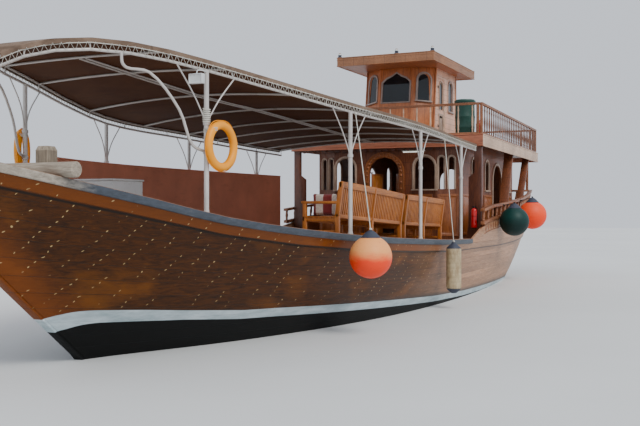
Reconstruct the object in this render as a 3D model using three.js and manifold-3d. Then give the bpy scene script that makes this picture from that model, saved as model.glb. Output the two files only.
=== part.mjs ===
// A wooden dhow passenger boat, afloat, in millimetres.
// +X points to the bow, +Y to port and +Z up. The origin lies on the waterline, amidships.
import * as THREE from 'three';
import { mergeVertices } from 'three/addons/utils/BufferGeometryUtils.js';
import Module from 'manifold-3d';

const wasm = await Module();
wasm.setup();

// Driving dimensions
const SEAT = 0.3;
const KEEL_HALF = 80;
const KEEL_BOTTOM = -1600;
const STRAKE_HEIGHT = 170;
const STRAKE_STEP = 30;
const RAIL_HEIGHT = 115;
const RAIL_OUT = 62;
const RAIL_IN = 140;
const RAIL_END_X = -1815;
const SOFFIT_Z = 3935;
const FASCIA_BOTTOM_Z = 3780;
const UPPER_DECK_Z = 4105;
const CABIN_TOP_Z = 6110;
const ROOF_Z = 6352;

// Hull stations from stem to transom. Each is straight in the side view,
// from its foot on the keel to its head at the deck edge.
const STATION_COLUMNS = ['footX', 'footZ', 'headX', 'headZ', 'headHalf', 'waterHalf'];
const STATIONS = [
  [7824, -945, 12590, 2870, 80, 80],
  [7320, -1050, 11730, 2680, 640, 250],
  [6690, -1130, 10575, 2430, 1175, 545],
  [5850, -1190, 9420, 2200, 1560, 930],
  [4800, -1230, 8055, 1950, 1860, 1340],
  [3540, -1260, 6480, 1745, 2340, 1740],
  [2175, -1280, 4590, 1585, 2690, 2110],
  [600, -1290, 2280, 1465, 2830, 2380],
  [-1080, -1290, -240, 1365, 2850, 2510],
  [-2760, -1280, -2760, 1325, 2810, 2520],
  [-4440, -1230, -5175, 1325, 2750, 2440],
  [-6120, -1080, -7590, 1350, 2630, 2290],
  [-7485, -800, -9060, 1390, 2500, 2140],
  [-8430, -420, -9870, 1440, 2390, 2026],
].map((row) => Object.fromEntries(row.map((value, i) => [STATION_COLUMNS[i], value])));

// Colours of the finishes
const FINISHES = {
  varnish: [0x6e4018, 0.45, 0],
  darkWood: [0x4a2c1a, 0.5, 0],
  houseWood: [0x96603f, 0.5, 0],
  paleWood: [0xb49078, 0.6, 0],
  teak: [0xb97d3c, 0.5, 0],
  greyWood: [0x8a8478, 0.8, 0],
  railPaint: [0x46505f, 0.5, 0],
  steelPaint: [0xc4c8cd, 0.35, 0.2],
  canvas: [0x82736a, 0.9, 0],
  screenPaint: [0x784637, 0.6, 0],
  white: [0xe4e6e6, 0.5, 0],
  bronze: [0xa8804a, 0.3, 0.9],
  iron: [0x3c4044, 0.5, 0.6],
  orange: [0xf0603a, 0.5, 0],
  green: [0x1d3c3a, 0.5, 0],
  buoyYellow: [0xf5a623, 0.5, 0],
  cream: [0xc8be9b, 0.6, 0],
  red: [0xa81d1d, 0.4, 0],
  cushionRed: [0x7c2a2a, 0.9, 0],
};

const boat = new THREE.Group();

const materials = Object.fromEntries(Object.entries(FINISHES).map(([name, [color, roughness, metalness]]) => [
  name, new THREE.MeshStandardMaterial({ color, roughness, metalness }),
]));

function add(name, geometry, finish) {
  const mesh = new THREE.Mesh(geometry, materials[finish]);
  mesh.name = name;
  boat.add(mesh);
  return mesh;
}

function toSolid(geometry) {
  const bare = geometry.clone();
  for (const name of Object.keys(bare.attributes)) {
    if (name !== 'position') bare.deleteAttribute(name);
  }
  const merged = mergeVertices(bare, 1e-3);
  return new wasm.Manifold(new wasm.Mesh({
    numProp: 3,
    vertProperties: new Float32Array(merged.attributes.position.array),
    triVerts: new Uint32Array(merged.index.array),
  }));
}

function toGeometry(solid) {
  const mesh = solid.getMesh();
  const geometry = new THREE.BufferGeometry();
  geometry.setAttribute('position', new THREE.BufferAttribute(new Float32Array(mesh.vertProperties), 3));
  geometry.setIndex(new THREE.BufferAttribute(new Uint32Array(mesh.triVerts), 1));
  geometry.computeVertexNormals();
  return geometry;
}

function join(pieces) {
  return toGeometry(pieces.map(toSolid).reduce((whole, piece) => whole.add(piece)));
}

function cut(body, cutters) {
  return toGeometry(cutters.map(toSolid).reduce((whole, piece) => whole.subtract(piece), toSolid(body)));
}

function box(x0, x1, y0, y1, z0, z1) {
  return new THREE.BoxGeometry(x1 - x0, y1 - y0, z1 - z0)
    .translate((x0 + x1) / 2, (y0 + y1) / 2, (z0 + z1) / 2);
}

function point(x, y, z) {
  return new THREE.Vector3(x, y, z);
}

// A closed skin through rings of points that run down one side and up the other.
function loft(rings) {
  const count = rings[0].length;
  const last = rings.length - 1;
  const positions = rings.flatMap((ring) => ring.flatMap((p) => [p.x, p.y, p.z]));
  const faces = [];
  const quad = (a, b, c, d) => faces.push(a, b, c, a, c, d);
  for (let i = 0; i < last; i += 1) {
    for (let j = 0; j < count; j += 1) {
      const k = (j + 1) % count;
      quad(i * count + j, i * count + k, (i + 1) * count + k, (i + 1) * count + j);
    }
  }
  for (let j = 0; j < count / 2 - 1; j += 1) {
    const mate = count - 1 - j;
    quad(j, mate, mate - 1, j + 1);
    quad(last * count + j, last * count + j + 1, last * count + mate - 1, last * count + mate);
  }
  const geometry = new THREE.BufferGeometry();
  geometry.setAttribute('position', new THREE.Float32BufferAttribute(positions, 3));
  geometry.setIndex(volumeOf(positions, faces) > 0 ? faces : faces.reverse());
  geometry.computeVertexNormals();
  return geometry;
}

function volumeOf(positions, faces) {
  const at = (i) => point(...positions.slice(3 * i, 3 * i + 3));
  let volume = 0;
  for (let i = 0; i < faces.length; i += 3) {
    volume += at(faces[i]).dot(at(faces[i + 1]).cross(at(faces[i + 2]))) / 6;
  }
  return volume;
}

function prism(outline, depth) {
  return new THREE.ExtrudeGeometry(new THREE.Shape(outline.map(([u, v]) => new THREE.Vector2(u, v))), {
    depth, bevelEnabled: false, curveSegments: 8,
  });
}

// Outlines drawn in plan, in the side view (x, z) and in the end view (y, z), then given a thickness.
function plate(outline, z0, z1) {
  return prism(outline, z1 - z0).translate(0, 0, z0);
}

function sideBoard(outline, y0, y1) {
  return prism(outline, y1 - y0).rotateX(Math.PI / 2).translate(0, y1, 0);
}

function crossBoard(outline, x0, x1) {
  return prism(outline, x1 - x0).rotateX(Math.PI / 2).rotateZ(Math.PI / 2).translate(x0, 0, 0);
}

function orient(geometry, from, to) {
  const along = to.clone().sub(from);
  const turn = new THREE.Quaternion().setFromUnitVectors(point(0, 0, 1), along.clone().normalize());
  return geometry.applyQuaternion(turn).translate(...from.clone().add(to).multiplyScalar(0.5).toArray());
}

function rod(from, to, radius, sides = 8) {
  const length = from.distanceTo(to);
  return orient(new THREE.CylinderGeometry(radius, radius, length, sides).rotateX(Math.PI / 2), from, to);
}

// A bar of square section whose sides stay in line with the boat.
function bar(from, to, wide, thick) {
  const along = to.clone().sub(from).normalize();
  const across = Math.abs(along.z) > 0.6 ? point(0, 1, 0) : point(0, 0, 1);
  const side = along.clone().cross(across).normalize();
  const up = side.clone().cross(along).normalize();
  const corner = (p, a, b) => (
    p.clone().addScaledVector(side, a * wide / 2).addScaledVector(up, b * thick / 2)
  );
  const ring = (p) => [corner(p, 1, 1), corner(p, 1, -1), corner(p, -1, -1), corner(p, -1, 1)];
  return loft([ring(from), ring(to)]);
}

function tube(points, radius, sides = 8, steps = 0) {
  const curve = steps > 0 ? new THREE.CatmullRomCurve3(points) : polyline(points);
  const section = new THREE.Shape();
  for (let i = 0; i <= sides; i += 1) {
    const angle = 2 * Math.PI * i / sides;
    const method = i === 0 ? 'moveTo' : 'lineTo';
    section[method](radius * Math.cos(angle), radius * Math.sin(angle));
  }
  return new THREE.ExtrudeGeometry(section, {
    extrudePath: curve, steps: steps > 0 ? steps : points.length - 1, bevelEnabled: false,
  });
}

function polyline(points) {
  const curve = new THREE.CatmullRomCurve3(points, false, 'catmullrom', 0);
  curve.getPointAt = (u) => curve.getPoint(u);
  return curve;
}

function mirrored(geometry) {
  const copy = geometry.clone().scale(1, -1, 1);
  const index = copy.index ? Array.from(copy.index.array) : [...Array(copy.attributes.position.count).keys()];
  copy.setIndex(index.reverse());
  copy.computeVertexNormals();
  return copy;
}

// An arched outline centred on u, from sill to crown.
function arch(u, half, sill, crown) {
  const spring = crown - half;
  const top = [0, 30, 60, 90, 120, 150, 180].map((degrees) => {
    const angle = THREE.MathUtils.degToRad(degrees);
    return [u + half * Math.cos(angle), spring + half * Math.sin(angle)];
  });
  return [[u - half, sill], [u + half, sill], ...top];
}

// Hull
const footLine = new THREE.CatmullRomCurve3(STATIONS.map((s) => point(s.footX, s.waterHalf, s.footZ)));
const headLine = new THREE.CatmullRomCurve3(STATIONS.map((s) => point(s.headX, s.headHalf, s.headZ)));
const LAST_STATION = STATIONS.length - 1;

const RING_STEP = 0.5;

// The hull is planked straight from ring to ring, so places between two rings are blended.
function station(place) {
  const before = Math.min(Math.floor(place / RING_STEP) * RING_STEP, LAST_STATION - RING_STEP);
  const blend = (place - before) / RING_STEP;
  const at = (line) => line.getPoint(before / LAST_STATION)
    .lerp(line.getPoint((before + RING_STEP) / LAST_STATION), blend);
  const foot = at(footLine);
  const head = at(headLine);
  const rake = (head.x - foot.x) / (head.z - foot.z);
  return {
    footX: foot.x, footZ: foot.z, waterHalf: foot.y, headX: head.x, headZ: head.z, headHalf: head.y, rake,
  };
}

// Places from start to end that break wherever the hull has a ring.
function placesBetween(start, end, step = RING_STEP) {
  const places = [start];
  const first = Math.ceil(start / step + 1e-6) * step;
  for (let place = first; place < end - 1e-6; place += step) places.push(place);
  return [...places, end];
}

// The place along the stations whose deck edge is at x.
function placeOfHead(x) {
  let low = 0;
  let high = LAST_STATION;
  for (let i = 0; i < 40; i += 1) {
    const middle = (low + high) / 2;
    if (station(middle).headX > x) low = middle;
    else high = middle;
  }
  return (low + high) / 2;
}

const CHINE_LIFT = 0.62;
const TOPSIDE_LIFT = 0.42;
const TOPSIDE_FLARE = 0.62;
const LEDGE_DROP = 4;
const BOTTOM_STEPS = 4;
const TOPSIDE_STEPS = 4;

function hullRing(place) {
  const s = station(place);
  const flare = TOPSIDE_FLARE * (s.headHalf - s.waterHalf);
  const lowControl = s.waterHalf + (flare / (TOPSIDE_LIFT * s.headZ)) * CHINE_LIFT * s.footZ;
  const bottom = new THREE.QuadraticBezierCurve(
    new THREE.Vector2(KEEL_HALF, s.footZ),
    new THREE.Vector2(Math.max(KEEL_HALF, lowControl), CHINE_LIFT * s.footZ),
    new THREE.Vector2(s.waterHalf, 0),
  );
  const topside = new THREE.QuadraticBezierCurve(
    new THREE.Vector2(s.waterHalf, 0),
    new THREE.Vector2(s.waterHalf + flare, TOPSIDE_LIFT * s.headZ),
    new THREE.Vector2(s.headHalf, s.headZ),
  );
  const ledge = (s.headZ - STRAKE_HEIGHT) / s.headZ;
  const lift = 2 * TOPSIDE_LIFT;
  const ledgeAt = (-lift + Math.sqrt(lift * lift + 4 * (1 - lift) * ledge)) / (2 * (1 - lift));
  const side = [];
  for (let i = 0; i <= BOTTOM_STEPS; i += 1) side.push(bottom.getPoint(i / BOTTOM_STEPS));
  for (let i = 1; i <= TOPSIDE_STEPS; i += 1) side.push(topside.getPoint(ledgeAt * i / TOPSIDE_STEPS));
  const step = Math.min(STRAKE_STEP, s.headHalf - KEEL_HALF);
  const edge = side[side.length - 1];
  side.push(new THREE.Vector2(edge.x + step, edge.y + LEDGE_DROP));
  side.push(new THREE.Vector2(s.headHalf + step, s.headZ));
  side.reverse();
  const place3 = (p, sign) => point(s.footX + s.rake * (p.y - s.footZ), sign * p.x, p.y);
  return [...side.map((p) => place3(p, 1)), ...side.reverse().map((p) => place3(p, -1))];
}

const ENGINE = { x0: -6250, x1: -4750, half: 375, floor: -600, top: 260 };
const WELL_GAP = 90;
const COAMING = { wide: 60, foot: 1000, top: 1420 };
const RUDDER_X = -8560;
const STOCK_RADIUS = 45;
const BORE_RADIUS = 50;
const BORE_TOP = 60;
const BORE_FOOT = -600;

// How far a piece that is trimmed to the deck starts below it
const BURY = 60;

function wellBox(grow, z0, z1) {
  const reach = WELL_GAP + grow;
  return box(ENGINE.x0 - reach, ENGINE.x1 + reach, -ENGINE.half - reach, ENGINE.half + reach, z0, z1);
}

const hullBody = loft(placesBetween(0, LAST_STATION).map(hullRing));

// What stands on the deck is trimmed to it, since the deck rises to bow and stern.
function seated(geometry) {
  return cut(geometry, [hullBody.clone().translate(0, 0, SEAT)]);
}

function hull() {
  const shell = join([hullBody, wellBox(COAMING.wide, COAMING.foot, COAMING.top)]);
  const trunk = rod(point(RUDDER_X, 0, BORE_FOOT), point(RUDDER_X, 0, BORE_TOP), BORE_RADIUS, 16);
  return cut(shell, [wellBox(0, ENGINE.floor, COAMING.top + 100), trunk]);
}
add('hull', hull(), 'varnish');

// Keel, stem and deadwood in one outline below the hull's centreline, with the shoe under the propeller
const DEADWOOD_X = -7300;
const SHOE_END_X = -8760;
const SHOE_TOP = KEEL_BOTTOM + 80;
const STEM_FACE = 55;
const STEM_HEAD = [[13110, 3220], [12760, 3330]];
const FOREFOOT = { flat: 6900, turn: 7500, rise: 130, ahead: 250, drop: 60, along: 1040, up: 1040 };
const PROPELLER = { x: -7760, z: -1130, radius: 345, hub: 70, shaft: 32, boss: 75, bossEnd: -7430 };

function backbone() {
  const inner = placesBetween(0, placeOfFoot(DEADWOOD_X)).map((place) => {
    const s = station(place);
    return [s.footX, s.footZ - SEAT];
  });
  const stemFoot = station(0);
  const clear = SEAT * 1.4;
  const stemInner = [
    [stemFoot.headX + clear, stemFoot.headZ], [stemFoot.footX + clear, stemFoot.footZ - SEAT],
  ];
  const outline = [
    ...STEM_HEAD, ...stemInner, ...inner.slice(1),
    [DEADWOOD_X, SHOE_TOP], [SHOE_END_X, SHOE_TOP], [SHOE_END_X, KEEL_BOTTOM],
    [FOREFOOT.flat, KEEL_BOTTOM], [FOREFOOT.turn, KEEL_BOTTOM + FOREFOOT.rise],
    [stemFoot.footX + FOREFOOT.ahead, stemFoot.footZ - FOREFOOT.drop],
    [stemFoot.footX + stemFoot.rake * FOREFOOT.along + STEM_FACE, stemFoot.footZ + FOREFOOT.up],
  ];
  const boss = rod(
    point(DEADWOOD_X + 60, 0, PROPELLER.z),
    point(PROPELLER.bossEnd, 0, PROPELLER.z),
    PROPELLER.boss,
    12,
  );
  return join([sideBoard(outline, -KEEL_HALF + 5, KEEL_HALF - 5), boss]);
}

function placeOfFoot(x) {
  let low = 0;
  let high = LAST_STATION;
  for (let i = 0; i < 40; i += 1) {
    const middle = (low + high) / 2;
    if (station(middle).footX > x) low = middle;
    else high = middle;
  }
  return (low + high) / 2;
}
add('keel_and_stem', backbone(), 'varnish');

// Rail caps along the deck edge, from the stem to the raised quarter
const RAIL_START = 0.42;

function railCap() {
  return loft(placesBetween(RAIL_START, placeOfHead(RAIL_END_X)).map((place) => {
    const s = station(place);
    const outer = s.headHalf + RAIL_OUT;
    const inner = Math.max(s.headHalf - RAIL_IN, KEEL_HALF);
    const low = s.headZ + SEAT;
    const high = s.headZ + RAIL_HEIGHT;
    return [
      point(s.headX, outer, high), point(s.headX, outer, low),
      point(s.headX, inner, low), point(s.headX, inner, high),
    ];
  }));
}
add('rail_cap_port', railCap(), 'railPaint');
add('rail_cap_starboard', mirrored(railCap()), 'railPaint');

// Log across the bow and the two mooring posts behind it
const LOG = { x: 10680, radius: 100, half: 1330 };
const BITT = { x: 10400, y: 600, half: 95, top: 2990, head: 60, flare: 1.45, crown: 1.1 };

function deckAt(x) {
  return station(placeOfHead(x)).headZ;
}

function log() {
  const z = deckAt(LOG.x) + RAIL_HEIGHT + LOG.radius + 2 * SEAT;
  return rod(point(LOG.x, -LOG.half, z), point(LOG.x, LOG.half, z), LOG.radius, 12);
}
add('bow_log', log(), 'greyWood');

function bitt(y) {
  const { x, half, top, head, flare, crown } = BITT;
  const shaft = box(x - half, x + half, y - half, y + half, deckAt(x) - BURY, top - head);
  const cap = new THREE.CylinderGeometry(half * crown, half * flare, head + 0.5, 4, 1)
    .rotateY(Math.PI / 4).rotateX(Math.PI / 2).translate(x, y, top - head / 2);
  return seated(join([shaft, cap]));
}
add('bitt_port', bitt(BITT.y), 'greyWood');
add('bitt_starboard', bitt(-BITT.y), 'greyWood');

// White locker on the foredeck
const LOCKER = { x0: 6780, x1: 7580, y0: -1470, y1: -530, top: 2640, wall: 30, lid: 35, lip: 20 };

function locker() {
  const { x0, x1, y0, y1, top, wall } = LOCKER;
  const floor = deckAt(x1) + wall;
  const shell = box(x0, x1, y0, y1, deckAt(x0) - BURY, top);
  return seated(cut(shell, [box(x0 + wall, x1 - wall, y0 + wall, y1 - wall, floor, top + wall)]));
}

function lockerLid() {
  const { x0, x1, y0, y1, top, lid, lip } = LOCKER;
  return box(x0 - lip, x1 + lip, y0 - lip, y1 + lip, top + SEAT, top + SEAT + lid);
}
add('foredeck_locker', locker(), 'white');
add('foredeck_locker_lid', lockerLid(), 'white');

// Raised quarter: a plank bulwark that sweeps up from the rail with a balustrade on it
const QUARTER = { skin: 50, out: 30, rail: 70, gap: 330, stick: 42, bite: 12 };
const LOW_RAIL = { out: 55, wide: 100 };
const TOP_RAIL = { out: 65, wide: 120 };
const QUARTER_TOP = [
  // place along the stations, height above the deck
  [8.62, 90], [8.8, 150], [8.95, 300], [9.1, 450], [9.4, 540], [10, 610], [11, 740], [12, 860], [13, 960],
];

function quarterHeight(place) {
  const next = QUARTER_TOP.findIndex(([at]) => at >= place);
  if (next <= 0) return QUARTER_TOP[Math.max(next, 0)][1];
  const [a, low] = QUARTER_TOP[next - 1];
  const [b, high] = QUARTER_TOP[next];
  return low + (high - low) * (place - a) / (b - a);
}

function quarterPoint(place, height, out) {
  const s = station(place);
  return point(s.headX + Math.min(s.rake, 0) * height, s.headHalf + out, s.headZ + height);
}

function quarterStrip(start, end, low, high, out, inward) {
  return loft(placesBetween(start, end).map((place) => {
    const base = low(place);
    const top = high(place);
    return [
      quarterPoint(place, top, out), quarterPoint(place, base, out),
      quarterPoint(place, base, out - inward), quarterPoint(place, top, out - inward),
    ];
  }));
}
const QUARTER_START = placeOfHead(RAIL_END_X - 2);
const RAIL_FIRST = 9.1;
const BALUSTERS = 21;

function quarterSide() {
  const { skin, out, rail, gap, stick, bite } = QUARTER;
  const above = (lift) => (place) => quarterHeight(place) + lift;
  const end = LAST_STATION - 0.02;
  const pieces = [
    quarterStrip(QUARTER_START, end, () => SEAT, above(0), out, skin),
    quarterStrip(RAIL_FIRST, end, above(-5), above(rail), LOW_RAIL.out, LOW_RAIL.wide),
    quarterStrip(RAIL_FIRST, end, above(gap), above(gap + rail), TOP_RAIL.out, TOP_RAIL.wide),
  ];
  for (let i = 0; i < BALUSTERS; i += 1) {
    const place = THREE.MathUtils.lerp(RAIL_FIRST + 0.03, end - 0.03, i / (BALUSTERS - 1));
    const at = (lift) => quarterPoint(place, above(lift)(place), out - skin / 2);
    pieces.push(bar(at(rail - bite), at(gap + bite), stick, stick));
  }
  return join(pieces);
}
add('quarter_side_port', quarterSide(), 'varnish');
add('quarter_side_starboard', mirrored(quarterSide()), 'varnish');

// The stern board stands on the transom, in line with its rake, with its own balustrade
const STERN = { posts: 13, inset: 40, stick: 45, middle: 75 };
const STERN_POST = { x: -11010, y: 2260, half: 38 };

function sternPoint(height, y, aft = 0) {
  const s = station(LAST_STATION);
  return point(s.headX + s.rake * height - aft, y, s.headZ + height);
}

function sternStrip(low, high, half, forward, thick) {
  const ring = (height) => [
    sternPoint(height, half, -forward), sternPoint(height, half, thick - forward),
    sternPoint(height, -half, thick - forward), sternPoint(height, -half, -forward),
  ];
  return loft([ring(low), ring(high)]);
}

function sternBoard() {
  const { posts, inset, stick, middle } = STERN;
  const { rail, gap, bite } = QUARTER;
  const half = station(LAST_STATION).headHalf - inset;
  const top = quarterHeight(LAST_STATION);
  const pieces = [
    sternStrip(SEAT, top, half, -40, 60),
    sternStrip(top - 5, top + rail, half, -20, 110),
    sternStrip(top + gap, top + gap + rail, half, -10, 190),
  ];
  for (let i = 0; i < posts; i += 1) {
    const y = (half - inset) * (2 * i / (posts - 1) - 1);
    const at = (lift) => sternPoint(top + lift, y, middle);
    pieces.push(bar(at(rail - bite), at(gap + bite), stick, stick));
  }
  const { x, y, half: postHalf } = STERN_POST;
  const foot = sternPoint(top + gap + rail, 0).z - 10;
  const post = box(x - postHalf, x + postHalf, y - postHalf, y + postHalf, foot, SOFFIT_Z - SEAT);
  pieces.push(post, mirrored(post));
  return join(pieces);
}
add('stern_board', sternBoard(), 'varnish');

// Leaves of the front door, which turn on pins between a sill block and a head block
const LEAF = {
  long: 385, thick: 40, open: 60, bottom: 1440, top: 3120, pin: 14, pinGap: 12, back: 95, y: 400,
  block: 30, behind: 22,
};

// Deckhouse: canted wings beside the front wall, slim arched windows and open side doorways
const HOUSE = { front: -3400, wingX: -3640, wingY: 1450, half: 2050, aft: -9700, wall: 60, foot: 1250 };
const DOORWAY = { half: 430, sill: 1420, crown: 3560 };
const FRONT_WINDOW = { y: 1140, half: 290, sill: 2690, crown: 3560 };
const WING_WINDOWS = [
  // y of the middle, half width
  [1590, 75], [1835, 80],
];
const SIDE_WINDOWS = [-4975, -6440, -9150];
const SIDE_WINDOW = { half: 215, sill: 2700, crown: 3560 };
const SIDE_DOOR = { x: -7640, half: 520, sill: 1420, crown: 3480 };
const AFT_DOOR = { half: 380, sill: 1480, crown: 3480 };

function houseOutline(inset) {
  const { front, wingX, wingY, half, aft } = HOUSE;
  return [
    [front - inset, -wingY + inset * 0.4], [front - inset, wingY - inset * 0.4],
    [wingX - inset, half - inset], [aft + inset, half - inset],
    [aft + inset, -half + inset], [wingX - inset, -half + inset],
  ];
}

function house() {
  const walls = plate(houseOutline(0), HOUSE.foot, SOFFIT_Z - SEAT);
  const cutters = [plate(houseOutline(HOUSE.wall), HOUSE.foot - 50, SOFFIT_Z + 50)];
  const doorway = arch(0, DOORWAY.half, DOORWAY.sill, DOORWAY.crown);
  cutters.push(crossBoard(doorway, HOUSE.front - 200, HOUSE.front + 100));
  for (const side of [-1, 1]) {
    const { y, half, sill, crown } = FRONT_WINDOW;
    cutters.push(crossBoard(arch(side * y, half, sill, crown), HOUSE.front - 200, HOUSE.front + 100));
    for (const [middle, slim] of WING_WINDOWS) {
      cutters.push(crossBoard(arch(side * middle, slim, sill, crown), HOUSE.wingX - 200, HOUSE.front + 100));
    }
  }
  for (const x of SIDE_WINDOWS) {
    const outline = arch(x, SIDE_WINDOW.half, SIDE_WINDOW.sill, SIDE_WINDOW.crown);
    cutters.push(sideBoard(outline, -HOUSE.half - 100, HOUSE.half + 100));
  }
  const door = arch(SIDE_DOOR.x, SIDE_DOOR.half, SIDE_DOOR.sill, SIDE_DOOR.crown);
  cutters.push(sideBoard(door, -HOUSE.half - 100, HOUSE.half + 100));
  const aftDoorway = arch(0, AFT_DOOR.half, AFT_DOOR.sill, AFT_DOOR.crown);
  cutters.push(crossBoard(aftDoorway, HOUSE.aft - 100, HOUSE.aft + 200));
  const { bottom, top, pinGap, back, y, block, behind } = LEAF;
  const [blockAft, blockFore] = [HOUSE.front - back - behind, HOUSE.front - HOUSE.wall + 1];
  const blocks = [bottom - pinGap - block, top + pinGap].flatMap((z) => {
    const port = box(blockAft, blockFore, y - block, y + block, z, z + block);
    return [port, mirrored(port)];
  });
  return seated(join([cut(walls, cutters), ...blocks]));
}
add('deckhouse', house(), 'houseWood');

// Double doors in the front doorway, standing open inwards
function doorLeaf(side) {
  const leaf = box(-LEAF.thick / 2, LEAF.thick / 2, -LEAF.long, 0, LEAF.bottom, LEAF.top);
  const { pin, pinGap, bottom, top } = LEAF;
  const pivot = rod(point(0, 0, bottom - pinGap + SEAT), point(0, 0, top + pinGap - SEAT), pin);
  const geometry = join([leaf, pivot]).rotateZ(THREE.MathUtils.degToRad(-LEAF.open));
  const placed = geometry.translate(HOUSE.front - LEAF.back, LEAF.y, 0);
  return side > 0 ? placed : mirrored(placed);
}
add('front_door_port', doorLeaf(1), 'teak');
add('front_door_starboard', doorLeaf(-1), 'teak');

// Engine and its hatch inside the house
const HATCH_THICK = 45;
const { x0: engineAft, x1: engineFore, half: engineHalf, floor: engineFloor, top: engineTop } = ENGINE;
add('engine', box(engineAft, engineFore, -engineHalf, engineHalf, engineFloor + SEAT, engineTop), 'iron');
add('engine_hatch', wellBox(COAMING.wide, COAMING.top + SEAT, COAMING.top + HATCH_THICK), 'darkWood');

// Boards that carry the upper deck
const PILLAR = {
  x0: -3440, x1: -3340, outer: 2700, low: 350, high: 200, notch: 2990, slope: 110, knee: 1750, spread: 90,
};

function pillar() {
  const { x0, x1, outer, low, high, notch, slope, knee, spread } = PILLAR;
  const foot = deckAt(x0) - BURY;
  const outline = [
    [outer, foot], [outer, SOFFIT_Z - SEAT], [outer - high, SOFFIT_Z - SEAT],
    [outer - high, notch + slope], [outer - low, notch], [outer - low, knee], [outer - low - spread, foot],
  ];
  return seated(crossBoard(outline, x0, x1));
}
add('pillar_port', pillar(), 'darkWood');
add('pillar_starboard', mirrored(pillar()), 'darkWood');

const RAKED_LONG = 90;
const RAKED_BOARDS = [
  // name, x of the foot, x of the head, outer y, width, foot z
  ['quarter_post', -6720, -7905, 2490, 270, 1280],
  ['corner_post', -9050, -10800, 2365, 220, 1330],
];
for (const [name, footX, headX, outer, wide, footZ] of RAKED_BOARDS) {
  const outline = [
    [footX, footZ], [footX - RAKED_LONG, footZ],
    [headX - RAKED_LONG, SOFFIT_Z - SEAT], [headX, SOFFIT_Z - SEAT],
  ];
  const board = seated(sideBoard(outline, outer - wide, outer));
  add(`${name}_port`, board, 'darkWood');
  add(`${name}_starboard`, mirrored(board), 'darkWood');
}

// Upper deck with its fascia boards
const UPPER = { front: -3285, bow: 90, frontHalf: 2750, aft: -12315, aftHalf: 2360, board: 45 };

function upperOutline(inset) {
  const { front, bow, frontHalf, aft, aftHalf } = UPPER;
  const corner = frontHalf - inset;
  return [
    [front - inset, -corner], [front + bow - inset, -corner / 2], [front + bow * 1.3 - inset, 0],
    [front + bow - inset, corner / 2], [front - inset, corner],
    [aft + inset, aftHalf - inset], [aft + inset, -aftHalf + inset],
  ];
}
add('upper_deck', cut(plate(upperOutline(0), FASCIA_BOTTOM_Z, UPPER_DECK_Z), [
  plate(upperOutline(UPPER.board), FASCIA_BOTTOM_Z - 50, SOFFIT_Z),
]), 'paleWood');

// Balustrades on the upper deck
const BALUSTRADE = {
  inset: 70, height: 815, cap: 60, foot: 45, stick: 36, bite: 10,
  footWide: 60, capWide: 80, newel: 70, fromEnd: 45,
};

function balustrade(from, to, count) {
  const { height, cap, foot, stick, bite, footWide, capWide, newel, fromEnd } = BALUSTRADE;
  const lift = (p, z) => point(p.x, p.y, UPPER_DECK_Z + z);
  const upright = (share, wide) => {
    const p = from.clone().lerp(to, share);
    return bar(lift(p, foot - bite), lift(p, height - cap + bite), wide, wide);
  };
  const end = fromEnd / from.distanceTo(to);
  const pieces = [
    bar(lift(from, SEAT + foot / 2), lift(to, SEAT + foot / 2), footWide, foot),
    bar(lift(from, height - cap / 2), lift(to, height - cap / 2), capWide, cap),
  ];
  for (let i = 0; i < count; i += 1) pieces.push(upright((i + 0.5) / count, stick));
  return join([...pieces, upright(end, newel), upright(1 - end, newel)]);
}

const RAIL_CORNERS = {
  front: point(UPPER.front - BALUSTRADE.inset, UPPER.frontHalf - BALUSTRADE.inset, 0),
  aft: point(UPPER.aft + BALUSTRADE.inset, UPPER.aftHalf - BALUSTRADE.inset, 0),
};

function across(p) {
  return point(p.x, -p.y, p.z);
}

const CORNER_GAP = 42;
const SIDE_STICKS = 30;
const FRONT_STICKS = 14;
const AFT_STICKS = 14;
const sideRail = balustrade(RAIL_CORNERS.front, RAIL_CORNERS.aft, SIDE_STICKS);
add('upper_rail_port', sideRail, 'varnish');
add('upper_rail_starboard', mirrored(sideRail), 'varnish');
const shortened = (p) => [p.clone().add(point(0, -CORNER_GAP, 0)), across(p).add(point(0, CORNER_GAP, 0))];
add('upper_rail_front', balustrade(...shortened(RAIL_CORNERS.front), FRONT_STICKS), 'varnish');
add('upper_rail_aft', balustrade(...shortened(RAIL_CORNERS.aft), AFT_STICKS), 'varnish');

// Wheelhouse with a raked three-sided front
const CABIN = {
  nose: -4125, noseHalf: 475, corner: -4500, half: 1029, aft: -6700, rake: 284, wall: 45,
};
const CABIN_DOOR = {
  x0: -5520, x1: -4920, sill: 4160, top: 5860, gap: 6, paneHalf: 170, paneSill: 4980, paneCrown: 5760,
};
const CABIN_WINDOW = { x: -6130, half: 200, aftHalf: 380, sill: 5000, crown: 5860 };
const NOSE_WINDOW = { half: 400, sill: 5150, shoulder: 5710, crown: 5975 };
const CHEEK_WINDOW = { half: 185, sill: 5170, crown: 5950 };

function cabinRing(inset, z) {
  const rise = (z - UPPER_DECK_Z) / (CABIN_TOP_Z - UPPER_DECK_Z);
  const back = CABIN.rake * rise;
  const { nose, noseHalf, corner, half, aft } = CABIN;
  const side = [
    point(nose - back - inset, noseHalf - inset * 0.35, z),
    point(corner - back - inset * 1.15, half - inset, z),
    point(aft + inset, half - inset, z),
  ];
  return [...side, ...side.slice().reverse().map(across)];
}

function noseOutline() {
  const { half, sill, shoulder, crown } = NOSE_WINDOW;
  return [
    [-half, sill], [half, sill], [half, shoulder],
    [half * 0.7, shoulder + 110], [half * 0.35, shoulder + 170],
    [0, crown], [-half * 0.35, shoulder + 170], [-half * 0.7, shoulder + 110], [-half, shoulder],
  ];
}

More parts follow.
